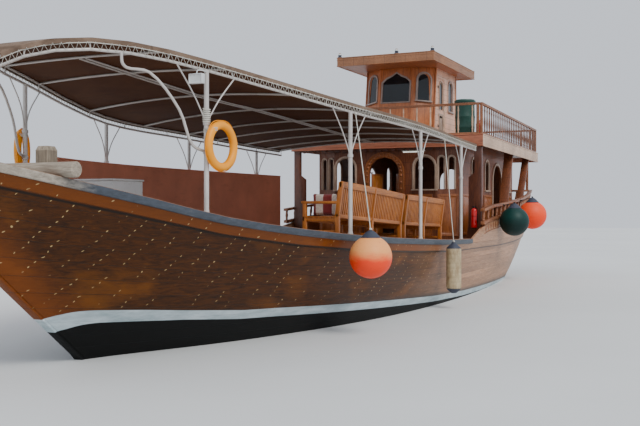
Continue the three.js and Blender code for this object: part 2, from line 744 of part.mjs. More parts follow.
function cheekCutter(side) {
  const { nose, noseHalf, corner, half } = CABIN;
  const turn = Math.atan2(half - noseHalf, nose - corner);
  const { half: windowHalf, sill, crown } = CHEEK_WINDOW;
  const cutter = crossBoard(arch(0, windowHalf, sill, crown), -250, 250);
  return cutter.rotateZ(side * (Math.PI / 2 - turn))
    .translate((nose + corner - CABIN.rake) / 2, side * (noseHalf + half) / 2, 0);
}

function cabin() {
  const low = UPPER_DECK_Z + SEAT;
  const high = CABIN_TOP_Z - SEAT;
  const shell = loft([cabinRing(0, low), cabinRing(0, high)]);
  const inner = loft([cabinRing(CABIN.wall, low - 30), cabinRing(CABIN.wall, high + 30)]);
  const reach = CABIN.half + 100;
  const { x, half, aftHalf, sill, crown } = CABIN_WINDOW;
  return cut(shell, [
    inner,
    crossBoard(noseOutline(), CABIN.nose - CABIN.rake - 50, CABIN.nose + 100),
    cheekCutter(1),
    cheekCutter(-1),
    sideBoard(arch(x, half, sill, crown), -reach, reach),
    box(CABIN_DOOR.x0, CABIN_DOOR.x1, -reach, reach, CABIN_DOOR.sill, CABIN_DOOR.top),
    crossBoard(arch(0, aftHalf, sill, crown), CABIN.aft - 100, CABIN.aft + 100),
  ]);
}
add('wheelhouse', cabin(), 'houseWood');

const HINGE = { heights: [4500, 5600], half: 25, leaf: 80, plate: 20, thick: 5, pin: 7, pinHalf: 45 };

function cabinDoor() {
  const { x0, x1, sill, top, gap, paneHalf, paneSill, paneCrown } = CABIN_DOOR;
  const { half, wall } = CABIN;
  const leaf = box(x0 + gap, x1 - gap, half - wall + 2, half - 2, sill + gap, top - gap);
  const pane = arch((x0 + x1) / 2, paneHalf, paneSill, paneCrown);
  const face = half + SEAT;
  const pinY = face + HINGE.pin;
  const hinges = HINGE.heights.flatMap((z) => [
    box(x1 - HINGE.leaf, x1 - 8, half - 10, face + HINGE.thick, z - HINGE.half, z + HINGE.half),
    box(x1 - HINGE.plate, x1, face, face + HINGE.thick, z - HINGE.half, z + HINGE.half),
    rod(point(x1, pinY, z - HINGE.pinHalf), point(x1, pinY, z + HINGE.pinHalf), HINGE.pin, 8),
  ]);
  return join([cut(leaf, [sideBoard(pane, half - 100, half + 100)]), ...hinges]);
}
add('wheelhouse_door_port', cabinDoor(), 'houseWood');
add('wheelhouse_door_starboard', mirrored(cabinDoor()), 'houseWood');

const ROOF = { front: -3400, aft: -7453, half: 1397, board: 50 };
const STUB = { radius: 35, height: 130, inset: 60, middleY: 330, fromAft: 200 };

function roof() {
  const { front, aft, half, board } = ROOF;
  const { radius, height, inset, middleY, fromAft } = STUB;
  const whole = box(aft, front, -half, half, CABIN_TOP_Z - 10, ROOF_Z);
  const recess = box(aft + board, front - board, -half + board, half - board, CABIN_TOP_Z - 50, CABIN_TOP_Z);
  const places = [
    [front - inset, half - inset], [front - inset, inset - half],
    [front - inset, middleY], [aft + fromAft, 0],
  ];
  const stubs = places.map(([x, y]) => rod(point(x, y, ROOF_Z - 20), point(x, y, ROOF_Z + height), radius));
  return cut(join([whole, ...stubs]), [recess]);
}
add('wheelhouse_roof', roof(), 'paleWood');

// Steering stand and wheel
const HELM = {
  x: -4760, z: 5100, radius: 330, rim: 22, spokes: 8, spoke: 14, handle: 90, hub: 60, plane: 130,
  shaft: 28, shaftEnd: 95, stand: 120, standHalf: 60, standTop: 110,
};

function steeringStand() {
  const { x, z, stand, standHalf, standTop, shaft, shaftEnd } = HELM;
  const post = box(x - standHalf, x + standHalf, -stand, stand, UPPER_DECK_Z + SEAT, z + standTop);
  return join([post, rod(point(x - standHalf + 10, 0, z), point(x - shaftEnd, 0, z), shaft, 10)]);
}

function steeringWheel() {
  const { x, z, radius, rim, spokes, spoke, handle, hub, shaftEnd } = HELM;
  const plane = x - HELM.plane;
  const pieces = [
    new THREE.TorusGeometry(radius, rim, 4, 16).rotateY(Math.PI / 2).translate(plane, 0, z),
    rod(point(x - shaftEnd - SEAT, 0, z), point(plane - 35, 0, z), hub, 8),
  ];
  for (let i = 0; i < spokes; i += 1) {
    const angle = 2 * Math.PI * i / spokes;
    const reach = radius + handle;
    const tip = point(plane, reach * Math.cos(angle), z + reach * Math.sin(angle));
    pieces.push(rod(point(plane, 0, z), tip, spoke, 4));
  }
  return join(pieces);
}
add('steering_stand', steeringStand(), 'darkWood');
add('steering_wheel', steeringWheel(), 'teak');

// Awning: rows of posts on the rails, an oval nose, cross bows and double ridge tubes
const AWNING_COLUMNS = ['x', 'y', 'z'];
const AWNING_POSTS = [
  [8318, 1700, 4179], [5126, 2604, 3854], [1892, 2793, 3770], [-1238, 2751, 3665],
].map((row) => Object.fromEntries(row.map((value, i) => [AWNING_COLUMNS[i], value])));
const AWNING = {
  aftX: -2603, aftY: 2730, aftZ: 3633, band: 125, lowTube: 22, highTube: 19,
  bow: 19, post: 37, flange: 50, flangeThick: 16, strut: 10, ridge: 14, ridgeHalf: 55, ridgeDrop: 20,
};
const BRACE = { reach: 520, drop: 760, bend: 0.55, out: 90, sag: 40, radius: 10 };

// The bent tube from the nose down to the first post
const SWAN_NECK_RADIUS = 21;
const SWAN_NECK = [
  [9630, 1195, 4275], [9625, 1208, 4130], [9560, 1232, 4075], [9228, 1359, 4050],
  [8763, 1534, 3574], [8551, 1613, 3092], [8318, 1700, 3003],
];
const NOSE = { centreX: 5325, length: 5250, half: 2069, z: 4040, swell: 165, steps: 6 };
const CROWN_COLUMNS = ['x', 'rise'];
const CROWN = [
  [10575, 0], [8318, 40], [6400, 140], [3860, 225], [1820, 185], [-1460, 165], [-2603, 165],
].map((row) => Object.fromEntries(row.map((value, i) => [CROWN_COLUMNS[i], value])));

// Where the frame's edge is bent between one post and the next, as shares of the way
const BENDS = [[0, 0.2, 0.5, 0.8], [0, 0.22, 0.44, 0.72], [0, 0.38, 0.76], [0, 0.34]];

// The edge line of the frame from the nose, which is part of an oval, to the aft end on the port side.
function awningEdge() {
  const [first] = AWNING_POSTS;
  const sweep = Math.acos((first.x - NOSE.centreX) / NOSE.length);
  const line = [];
  for (let i = 0; i < NOSE.steps; i += 1) {
    const share = i / NOSE.steps;
    const z = THREE.MathUtils.lerp(NOSE.z, first.z, share) + NOSE.swell * Math.sin(Math.PI * share);
    const angle = sweep * share;
    line.push(point(NOSE.centreX + NOSE.length * Math.cos(angle), NOSE.half * Math.sin(angle), z));
  }
  for (const { x, y, z } of AWNING_POSTS) line.push(point(x, y, z));
  line.push(point(AWNING.aftX, AWNING.aftY, AWNING.aftZ));
  const curve = new THREE.CatmullRomCurve3(line, false, 'centripetal');
  const last = line.length - 1;
  const places = line.slice(0, -1).flatMap((_, i) => (
    (BENDS[i - NOSE.steps] ?? [0]).map((part) => (i + part) / last)
  ));
  return [...places, 1].map((place) => curve.getPoint(place));
}
const edgePoints = awningEdge();
const EDGE_STEPS = edgePoints.length - 1;

function edgeIndex(x) {
  const passed = edgePoints.findIndex((p) => p.x <= x);
  return passed < 0 ? EDGE_STEPS : Math.max(passed, 1);
}

function edgeAt(x) {
  const after = edgeIndex(x);
  const b = edgePoints[after];
  const a = edgePoints[after - 1];
  return a.clone().lerp(b, THREE.MathUtils.clamp((x - a.x) / (b.x - a.x), 0, 1));
}

function edgeTubes(extra = 0) {
  const middle = (y) => point(edgePoints[0].x, y, edgePoints[0].z);
  const lower = [middle(SEAT), middle(80), ...edgePoints.slice(1)];
  const upper = lower.map((p) => p.clone().add(point(0, 0, AWNING.band)));
  const tubes = [tube(lower, AWNING.lowTube + extra, 5), tube(upper, AWNING.highTube + extra, 5)];
  return { lower, upper, tubes };
}

function awningSide() {
  const { lower, upper, tubes } = edgeTubes();
  const pieces = [...tubes];
  for (let i = 1; i < lower.length; i += 2) {
    pieces.push(rod(lower[i].clone(), upper[i].clone(), AWNING.strut, 3));
  }
  for (const post of AWNING_POSTS) {
    const top = edgeAt(post.x);
    const foot = point(post.x, top.y, deckAt(post.x + AWNING.flange) + RAIL_HEIGHT + SEAT);
    pieces.push(rod(foot, top, AWNING.post, 8));
    pieces.push(rod(foot, foot.clone().add(point(0, 0, AWNING.flangeThick)), AWNING.flange, 8));
    for (const way of [-1, 1]) {
      const end = edgeAt(post.x + way * BRACE.reach);
      const low = point(top.x, top.y, top.z - BRACE.drop);
      const bend = low.clone().lerp(end, BRACE.bend).add(point(-way * BRACE.out, 0, -BRACE.sag));
      pieces.push(tube([low, bend, end], BRACE.radius, 4, 3));
    }
  }
  pieces.push(tube(SWAN_NECK.map(([x, y, z]) => point(x, y, z)), SWAN_NECK_RADIUS, 5, 8));
  return join(pieces);
}

add('awning_frame_port', awningSide(), 'steelPaint');
add('awning_frame_starboard', mirrored(awningSide()), 'steelPaint');

// Points of the edge line that carry a cross bow
const BOWS = [5, 7, 9, 12, 14, 15, 16, 18, 18.97];
const ARC_STEPS = 6;

// The crown is straight between the points of the edge line, as the canvas is.
function tableRise(x) {
  const next = Math.max(CROWN.findIndex((row) => row.x <= x + 0.1), 1);
  const [a, b] = [CROWN[next - 1], CROWN[next]];
  return THREE.MathUtils.mapLinear(THREE.MathUtils.clamp(x, b.x, a.x), a.x, b.x, a.rise, b.rise);
}

function awningRise(x) {
  const after = edgeIndex(x);
  const [a, b] = [edgePoints[after - 1].x, edgePoints[after].x];
  return THREE.MathUtils.mapLinear(THREE.MathUtils.clamp(x, b, a), a, b, tableRise(a), tableRise(b));
}

// Points over the boat from the port edge to the starboard one, crowned in the middle.
function crownLine(edge, half, lift, rise = awningRise(edge.x)) {
  const points = [];
  for (let i = 0; i <= ARC_STEPS; i += 1) {
    const side = 1 - 2 * i / ARC_STEPS;
    points.push(point(edge.x, half * side, edge.z + AWNING.band + rise * (1 - side ** 2) + lift));
  }
  return points;
}

// Each bow stops short of the edge tube, which is clamped to it.
const BOW_GAP = -1.2;

function awningBows() {
  const lines = BOWS.map((place) => {
    const [a, b] = [edgePoints[Math.floor(place)], edgePoints[Math.ceil(place)]];
    const edge = a.clone().lerp(b, place - Math.floor(place));
    const slope = Math.abs((edgeAt(edge.x - 100).y - edgeAt(edge.x + 100).y) / 200);
    const pull = AWNING.highTube * Math.hypot(1, slope) + AWNING.bow * slope + BOW_GAP;
    return crownLine(edge, edge.y - pull, 0);
  });
  const bows = lines.map((line) => tube(line, AWNING.bow, 5));
  const ridges = [-1, 1].map((side) => tube(
    lines.map((line) => point(line[0].x, side * AWNING.ridgeHalf, line[ARC_STEPS / 2].z - AWNING.ridgeDrop)),
    AWNING.ridge,
    4,
  ));
  return join([...bows, ...ridges]);
}
add('awning_bows', awningBows(), 'steelPaint');

// Canvas cover with a short hem outside the upper tubes
const CANVAS = { thick: 8, lift: 1, skirt: 40, out: 32 };

// The frame's edge moved outwards in plan.
function edgeOffset(reach) {
  return edgePoints.map((p, i) => {
    const before = edgePoints[Math.max(i - 1, 0)];
    const after = edgePoints[Math.min(i + 1, EDGE_STEPS)];
    const along = point(after.x - before.x, i === 0 ? after.y : after.y - before.y, 0).normalize();
    const moved = point(p.x + along.y * reach, p.y - along.x * reach, p.z);
    return i === 0 ? point(p.x + reach, CANVAS.out, p.z) : moved;
  });
}

function awningCanvas() {
  const lift = AWNING.bow + CANVAS.lift;
  const outside = edgeOffset(CANVAS.out + CANVAS.thick);
  const rings = edgeOffset(CANVAS.out).map((p, i) => {
    const rise = awningRise(edgePoints[i].x);
    const outer = crownLine(outside[i], outside[i].y, lift + CANVAS.thick, rise);
    const inner = crownLine(p, p.y, lift, rise);
    const hem = p.z + AWNING.band - CANVAS.skirt;
    const hung = (line) => [line[0], ...line, line[ARC_STEPS]].map((q, j, all) => (
      j === 0 || j === all.length - 1 ? point(q.x, q.y, hem) : q
    ));
    return [...hung(outer), ...hung(inner).reverse()];
  });
  return loft(rings);
}
add('awning_canvas', awningCanvas(), 'canvas');

// Screen of painted boards inside the starboard posts
const SCREEN = { x0: -2350, x1: 7900, inset: 175, thick: 25, top: 3045 };

function screen() {
  return loft(placesBetween(placeOfHead(SCREEN.x1), placeOfHead(SCREEN.x0)).map((place) => {
    const s = station(place);
    const outer = -(s.headHalf - SCREEN.inset);
    const low = s.headZ + SEAT;
    return [
      point(s.headX, outer, SCREEN.top), point(s.headX, outer, low),
      point(s.headX, outer + SCREEN.thick, low), point(s.headX, outer + SCREEN.thick, SCREEN.top),
    ];
  }));
}
add('side_screen', screen(), 'screenPaint');

// Teak benches along the port side, with reclined slatted backs, and their seat cushions
const BENCH = {
  back: 2400, lean: 85, depth: 700, seat: 420, arm: 650, height: 1050, post: 70, top: 30, armTop: 40,
  armReach: 30, beam: 90, slab: 25, crestLow: 130, crestArch: 12, crestSteps: 4, splat: 260, splatHalf: 24,
};
const BENCHES = [
  // name, x of the aft end, x of the fore end
  ['fore', 1920, 5160],
  ['aft', -860, 1740],
];

// Lays a piece that was made level, with z = 0 at its foot, on the slope of the deck between two places.
function onSlope(geometry, x0, x1) {
  const slope = (deckAt(x1) - deckAt(x0)) / (x1 - x0);
  const lay = new THREE.Matrix4().set(1, 0, 0, 0, 0, 1, 0, 0, slope, 0, 1, deckAt(x0) - slope * x0, 0, 0, 0, 1);
  return geometry.clone().applyMatrix4(lay);
}

// A board of the back between two heights, leaning outboard with it.
function leaning(x0, x1, near, far, low, high) {
  const { back, lean, seat, height } = BENCH;
  const shift = (z) => lean * Math.max(z - seat, 0) / (height - seat);
  const outline = [
    [back - far + shift(low), low], [back - near + shift(low), low],
    [back - near + shift(high), high], [back - far + shift(high), high],
  ];
  return crossBoard(outline, x0, x1);
}

function bench(x0, x1) {
  const { back, depth, seat, arm, height, post, top, armTop, armReach, beam, slab } = BENCH;
  const { crestLow, crestArch, crestSteps, splat, splatHalf } = BENCH;
  const front = back - depth;
  const foot = -BURY - 30;
  const pieces = [];
  const ends = [x0, (x0 + x1) / 2 - post / 2, x1 - post];
  for (const x of ends) {
    pieces.push(box(x, x + post, back - 80, back, foot, seat));
    pieces.push(leaning(x, x + post, 0, 80, seat - 10, height - top));
    pieces.push(box(x, x + post, front, front + post, foot, arm));
    pieces.push(box(x, x + post, front - armReach, back - 40, arm - 10, arm + armTop));
    pieces.push(box(x, x + post, front + 10, back - 10, seat - beam, seat - 20));
  }
  pieces.push(box(x0, x1, front, front + 40, seat - beam, seat));
  pieces.push(box(x0, x1, front + 5, back - 10, seat - slab, seat));
  pieces.push(leaning(x0, x1, 15, 60, seat - 20, seat + 45));
  for (let i = 0; i < crestSteps; i += 1) {
    const near = x0 + (x1 - x0) * i / crestSteps;
    const far = x0 + (x1 - x0) * (i + 1) / crestSteps;
    const arch = crestArch * Math.sin(Math.PI * (i + 0.5) / crestSteps);
    pieces.push(leaning(near, far, 10, 65, height - crestLow, height - 20 + arch));
  }
  const count = Math.round((x1 - x0) / splat);
  for (let i = 1; i < count; i += 1) {
    const x = x0 + (x1 - x0) * i / count;
    pieces.push(leaning(x - splatHalf, x + splatHalf, 25, 50, seat + 30, height - 120));
  }
  return seated(onSlope(join(pieces), x0, x1));
}

const CUSHION = { thick: 95, soft: 30, fromEnd: 90, fromMiddle: 55, fromFront: 20, fromBack: 95 };

function cushion(x0, x1) {
  const { thick, soft, fromEnd, fromMiddle, fromFront, fromBack } = CUSHION;
  const y0 = BENCH.back - BENCH.depth + fromFront;
  const y1 = BENCH.back - fromBack;
  const z0 = BENCH.seat + SEAT;
  const z1 = z0 + thick;
  const outline = [
    [y0, z0], [y1, z0], [y1, z1 - soft], [y1 - soft, z1], [y0 + soft, z1], [y0, z1 - soft],
  ];
  return onSlope(crossBoard(outline, x0 + fromEnd, (x0 + x1) / 2 - fromMiddle), x0, x1);
}

for (const [name, x0, x1] of BENCHES) {
  add(`bench_port_${name}`, bench(x0, x1), 'teak');
  add(`cushion_port_${name}`, cushion(x0, x1), 'cushionRed');
}

// Fenders, with the line that each hangs from
const FENDER_LINE = 9;
const FENDER_END = { shoulder: 90, full: 130 };

function ballFender(x, y, z, radius, lineTop) {
  const profile = [];
  const steps = 8;
  for (let i = 0; i <= steps; i += 1) {
    const angle = -Math.PI / 2 + Math.PI * 0.84 * i / steps;
    profile.push(new THREE.Vector2(Math.max(radius * Math.cos(angle), 0), radius * Math.sin(angle)));
  }
  profile.push(new THREE.Vector2(radius * 0.2, radius * 1.18), new THREE.Vector2(0, radius * 1.24));
  const ball = new THREE.LatheGeometry(profile, 14).rotateX(Math.PI / 2).translate(x, y, z);
  return join([ball, rod(point(x, y, z + radius), lineTop, FENDER_LINE, 5)]);
}

function longFender(x, y, z0, z1, radius, lineTop) {
  const { shoulder, full } = FENDER_END;
  const profile = [
    [0, z0], [radius * 0.35, z0], [radius * 0.95, z0 + shoulder], [radius, z0 + full], [radius, z1 - full],
    [radius * 0.95, z1 - shoulder], [radius * 0.35, z1], [0, z1],
  ].map(([r, z]) => new THREE.Vector2(r, z));
  const body = new THREE.LatheGeometry(profile, 14).rotateX(Math.PI / 2).translate(x, y, 0);
  return join([body, rod(point(x, y, z1 - 30), lineTop, FENDER_LINE, 5)]);
}

// A line that ends against the awning's lower tube
function onTube(fender) {
  return cut(fender, [edgeTubes(SEAT * 1.6).tubes[0]]);
}

// A line that ends against the quarter's top rail
function onRail(fender) {
  const base = (lift) => (place) => quarterHeight(place) + QUARTER.gap + lift;
  const end = LAST_STATION - 0.1;
  const rail = quarterStrip(RAIL_FIRST, end, base(0), base(QUARTER.rail), TOP_RAIL.out + SEAT, TOP_RAIL.wide);
  return cut(fender, [rail]);
}

function railHook(place) {
  return quarterPoint(place, quarterHeight(place) + QUARTER.gap + 40, QUARTER.out + 25);
}

const BALL_FENDERS = [
  // name, middle, radius, finish, what holds the line and where
  ['ball_fender_fore', [5326, 3060, 1370], 362, 'orange', onTube, edgeAt(5000)],
  ['ball_fender_green', [-4860, 3205, 1827], 394, 'green', onRail, railHook(9.9)],
  ['ball_fender_aft', [-7695, 3110, 1974], 420, 'orange', onRail, railHook(10.85)],
];
for (const [name, middle, radius, finish, hang, lineTop] of BALL_FENDERS) {
  add(name, hang(ballFender(...middle, radius, lineTop)), finish);
}

const LONG_FENDER = { x: 548, y: 3100, low: 350, high: 1420, radius: 163, lineX: 284 };
const { x: longX, y: longY, low: longLow, high: longHigh, radius: longRadius, lineX } = LONG_FENDER;
add('long_fender', onTube(longFender(longX, longY, longLow, longHigh, longRadius, edgeAt(lineX))), 'cream');

// Lifebuoys beside the first posts
const BUOY = { ring: 305, body: 62, lashing: 12, gap: 6 };

function lifebuoy(aft, z, turn) {
  const [{ x }] = AWNING_POSTS;
  const postY = edgeAt(x).y;
  const angle = THREE.MathUtils.degToRad(turn);
  const clear = (AWNING.post + BUOY.body + BUOY.gap) / Math.cos(angle);
  const y = postY + clear + aft * Math.tan(angle);
  const ring = new THREE.TorusGeometry(BUOY.ring, BUOY.body, 7, 16)
    .rotateX(Math.PI / 2).rotateZ(-angle).translate(x - aft, y, z);
  const tieZ = z + Math.sqrt(BUOY.ring ** 2 - (aft / Math.cos(angle)) ** 2);
  const tie = rod(point(x, postY + clear, tieZ), point(x, postY, tieZ), BUOY.lashing, 6);
  const reach = 2 * BUOY.ring;
  const post = rod(point(x, postY, z - reach), point(x, postY, z + reach), AWNING.post + 2 * SEAT, 8);
  return cut(join([ring, tie]), [post]);
}
add('lifebuoy_port', lifebuoy(208, 3098, 5), 'buoyYellow');
add('lifebuoy_starboard', mirrored(lifebuoy(165, 3120, 30)), 'buoyYellow');

// Fire extinguisher on the port pillar, drum and white box on the upper deck
function extinguisher() {
  const profile = [[0, 0], [78, 0], [82, 20], [82, 430], [60, 490], [25, 510], [25, 560], [0, 560]]
    .map(([r, z]) => new THREE.Vector2(r, z));
  return new THREE.LatheGeometry(profile, 14).rotateX(Math.PI / 2);
}
const EXTINGUISHER = { out: 80, y: 2520, z: 1680 };
add('fire_extinguisher', extinguisher().translate(
  PILLAR.x1 + EXTINGUISHER.out + SEAT, EXTINGUISHER.y, EXTINGUISHER.z,
), 'red');

function drum() {
  const profile = [
    [0, 0], [230, 0], [250, 30], [262, 490], [255, 900], [285, 910], [285, 960], [250, 990], [0, 990],
  ].map(([r, z]) => new THREE.Vector2(r, z));
  return new THREE.LatheGeometry(profile, 18).rotateX(Math.PI / 2);
}
const DRUM = { x: -4150, y: 2030 };
const DECK_BOX = { x0: -4000, x1: -3600, y0: 20, y1: 420, height: 480 };
add('deck_drum', drum().translate(DRUM.x, DRUM.y, UPPER_DECK_Z + SEAT), 'green');
add('deck_box', box(
  DECK_BOX.x0, DECK_BOX.x1, DECK_BOX.y0, DECK_BOX.y1, UPPER_DECK_Z + SEAT, UPPER_DECK_Z + DECK_BOX.height,
), 'white');

// Rudder and propeller
function rudder() {
  const outline = [
    [RUDDER_X + 130, -1480], [RUDDER_X + 130, -760], [RUDDER_X + 60, -640], [RUDDER_X - 480, -560],
    [RUDDER_X - 640, -700], [RUDDER_X - 660, -1400], [RUDDER_X - 560, -1490],
  ];
  const blade = sideBoard(outline, -32, 32);
  const stock = rod(point(RUDDER_X, 0, SHOE_TOP + SEAT), point(RUDDER_X, 0, -140), STOCK_RADIUS, 16);
  return join([blade, stock]);
}
add('rudder', rudder(), 'varnish');

function propeller() {
  const { x, z, radius, hub, shaft, bossEnd } = PROPELLER;
  const pieces = [
    rod(point(bossEnd - SEAT, 0, z), point(x, 0, z), shaft, 12),
    new THREE.CylinderGeometry(hub * 0.45, hub, 170, 12).rotateZ(Math.PI / 2).translate(x - 10, 0, z),
  ];
  const blades = 4;
  for (let i = 0; i < blades; i += 1) {
    const blade = prism([
      [-60, 30], [60, 30], [120, 180], [95, 300], [0, radius], [-95, 300], [-120, 180],
    ], 22).translate(0, 0, -11).rotateY(THREE.MathUtils.degToRad(55)).rotateX(2 * Math.PI * i / blades);
    pieces.push(blade.translate(x, 0, z));
  }
  return join(pieces);
}
add('propeller', propeller(), 'bronze');

export default boat;
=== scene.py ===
# %% [markdown]
# A wooden dhow passenger boat, afloat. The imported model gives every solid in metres: +X points to the
# bow, +Y to port, +Z up, and z = 0 is the waterline. This lesson dresses those solids: first the camera
# and light, then the finishes, then the pieces from the hull up to the roof.
# %% Load the frame
import math
import bpy
from mathutils import Matrix, Vector


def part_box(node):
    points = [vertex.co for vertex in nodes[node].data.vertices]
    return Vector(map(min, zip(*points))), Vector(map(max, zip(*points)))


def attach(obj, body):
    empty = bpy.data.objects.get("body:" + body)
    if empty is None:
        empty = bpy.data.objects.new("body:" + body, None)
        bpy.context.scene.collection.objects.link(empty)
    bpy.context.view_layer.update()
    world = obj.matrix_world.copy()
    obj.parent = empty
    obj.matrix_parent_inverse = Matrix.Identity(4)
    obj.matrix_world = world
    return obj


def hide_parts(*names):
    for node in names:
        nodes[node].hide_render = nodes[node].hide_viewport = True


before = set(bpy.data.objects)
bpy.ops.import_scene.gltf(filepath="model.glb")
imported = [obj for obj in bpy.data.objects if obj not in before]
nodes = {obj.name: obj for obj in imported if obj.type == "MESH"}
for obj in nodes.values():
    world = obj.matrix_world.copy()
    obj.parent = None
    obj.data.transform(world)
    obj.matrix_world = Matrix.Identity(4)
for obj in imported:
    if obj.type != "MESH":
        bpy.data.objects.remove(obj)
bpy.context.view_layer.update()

# %% [markdown]
# The photograph was fitted as a level view with a lens of about 50 mm: the eye is 2.2 m above the water,
# off the port bow. Its direction and height come from the horizon and the waterline of the hull.
# %% Camera
EYE = Vector((19.37, 8.62, 2.205))
LOOK = Vector((-0.9075, -0.42, -0.0063))
FOCAL_PIXELS = 896.2
PHOTO_WIDTH = 640
SENSOR = 36.0

bpy.ops.object.camera_add(location=EYE, rotation=LOOK.to_track_quat("-Z", "Y").to_euler())
camera = bpy.context.object
camera.data.sensor_width = SENSOR
camera.data.lens = SENSOR * FOCAL_PIXELS / PHOTO_WIDTH
camera.data.clip_end = 500
bpy.context.scene.camera = camera
print("lens", round(camera.data.lens, 1), "mm")

# %% [markdown]
# The light is that of a bright overcast day: a pale sky all round and one broad, soft light from the
# port bow. The floor lies at the waterline, so it cuts the hull where the water does.
# %% Light and floor
SKY = (0.86, 0.91, 1.0, 1.0)
SKY_STRENGTH = 0.95
SUN_STRENGTH, SUN_ANGLE = 1.9, math.radians(25)
SUN_TURN = [math.radians(turn) for turn in (38, 22, 120)]
FLOOR_SIZE = 160

world = bpy.data.worlds.new("overcast sky")
world.use_nodes = True
world.node_tree.nodes["Background"].inputs["Color"].default_value = SKY
world.node_tree.nodes["Background"].inputs["Strength"].default_value = SKY_STRENGTH
bpy.context.scene.world = world

bpy.ops.object.light_add(type="SUN", rotation=SUN_TURN)
sun = bpy.context.object
sun.data.energy = SUN_STRENGTH
sun.data.angle = SUN_ANGLE
sun.data.color = (1.0, 0.97, 0.92)

bpy.ops.mesh.primitive_plane_add(size=FLOOR_SIZE, location=(0, 0, 0))
floor = bpy.context.object
floor.name = "floor"

# %% [markdown]
# Every finish is a small node tree on Object coordinates, so its pattern keeps its size in metres.
# `wire` adds one node and links or sets its inputs, which keeps each finish short enough to read.
# %% Node helpers
wiring = {}


def new_finish(name, roughness, metallic=0.0, **sockets):
    """Starts a finish; the nodes that are made next go into its tree."""
    material = bpy.data.materials.new(name)
    material.use_nodes = True
    shader = material.node_tree.nodes["Principled BSDF"]
    shader.inputs["Roughness"].default_value = roughness
    shader.inputs["Metallic"].default_value = metallic
    for socket, value in sockets.items():
        shader.inputs[socket.replace("_", " ")].default_value = value
    wiring["tree"] = material.node_tree
    return material


def wire(kind, settings=None, **inputs):
    tree = wiring["tree"]
    made = tree.nodes.new("ShaderNode" + kind)
    for key, value in (settings or {}).items():
        setattr(made, key, value)
    for key, value in inputs.items():
        socket = made.inputs[int(key[1:])] if key[0] == "i" and key[1:].isdigit() else made.inputs[key]
        if isinstance(value, bpy.types.NodeSocket):
            tree.links.new(value, socket)
        else:
            socket.default_value = value
    return made


def place(scale=(1, 1, 1)):
    coordinates = wire("TexCoord").outputs["Object"]
    return wire("Mapping", Vector=coordinates, Scale=scale).outputs["Vector"]


def noise(vector, scale, detail=4.0, roughness=0.55, distortion=0.0):
    made = wire("TexNoise", Vector=vector, Scale=scale, Detail=detail, Roughness=roughness,
                Distortion=distortion)
    return made.outputs["Fac"]


def ramp(value, *stops):
    made = wire("ValToRGB", Fac=value)
    elements = made.color_ramp.elements
    while len(elements) < len(stops):
        elements.new(0.5)
    for element, (position, colour) in zip(elements, stops):
        element.position = position
        element.color = colour if len(colour) == 4 else (*colour, 1)
    return made.outputs["Color"]


def blend_colours(amount, first, second, mode="MIX"):
    made = wire("MixRGB", {"blend_type": mode}, Fac=amount, Color1=first, Color2=second)
    return made.outputs["Color"]


def sums(operation):
    """One kind of sum on two values, as a function that adds its node."""
    def calculate(first, second=0.0):
        return wire("Math", {"operation": operation}, i0=first, i1=second).outputs["Value"]
    return calculate


plus, minus, times, over = sums("ADD"), sums("SUBTRACT"), sums("MULTIPLY"), sums("DIVIDE")
part_of, size_of, below_of, root_of, power = map(sums, ("FRACT", "ABSOLUTE", "FLOOR", "SQRT", "POWER"))

# %% [markdown]
# `between` maps a range of one value to another range, and `colour_of` turns a paint chip into the linear
# colour that the shader wants.
# %% Colour helpers
def between(value, low, high, to_low=0.0, to_high=1.0):
    made = wire("MapRange", {"clamp": True}, Value=value)
    for socket, number in (("From Min", low), ("From Max", high), ("To Min", to_low), ("To Max", to_high)):
        made.inputs[socket].default_value = number
    return made.outputs["Result"]


def coated(material, colour, height=None, distance=0.002, strength=1.0, **sockets):
    """Links a colour, a relief and any other field to the finish's shader, and gives the finish back."""
    fields = {"Base_Color": colour, **sockets}
    if height is not None:
        fields["Normal"] = wire("Bump", Height=height, Distance=distance,
                                Strength=strength).outputs["Normal"]
    for socket, field in fields.items():
        shader = material.node_tree.nodes["Principled BSDF"]
        material.node_tree.links.new(field, shader.inputs[socket.replace("_", " ")])
    return material


VIVID = 1.28


def colour_of(red, green, blue):
    """A paint chip of 0 to 255 as linear colour, a little more vivid since the pale sky washes it out."""
    grey = (red + green + blue) / 3
    chip = [min(max(grey + (v - grey) * VIVID, 2), 255) for v in (red, green, blue)]
    return (*[(v / 255) ** 2.2 for v in chip], 1.0)


def axis_values():
    split = wire("SeparateXYZ", Vector=wire("TexCoord").outputs["Object"])
    return split.outputs["X"], split.outputs["Y"], split.outputs["Z"]

# %% [markdown]
# The floor is matt and pale, with a faint unevenness so that it doesn't read as a flat fill.
# %% Floor finish
def floor_finish():
    material = new_finish("floor_paint", 0.75)
    patches = noise(place(), 0.12)
    return coated(material, ramp(patches, (0.3, colour_of(214, 216, 216)), (0.7, colour_of(224, 226, 226))))


floor.data.materials.append(floor_finish())

# %% [markdown]
# Wood makes up most of the boat. One function stretches noise along the grain, mixes a dark and a light
# tone, and adds broader patches and grey wear. Varnish is a clear coat set on the shader itself.
# %% Wood finishes
ALONG = {"x": (0.9, 9.0, 9.0), "y": (9.0, 0.9, 9.0), "z": (9.0, 9.0, 0.9)}


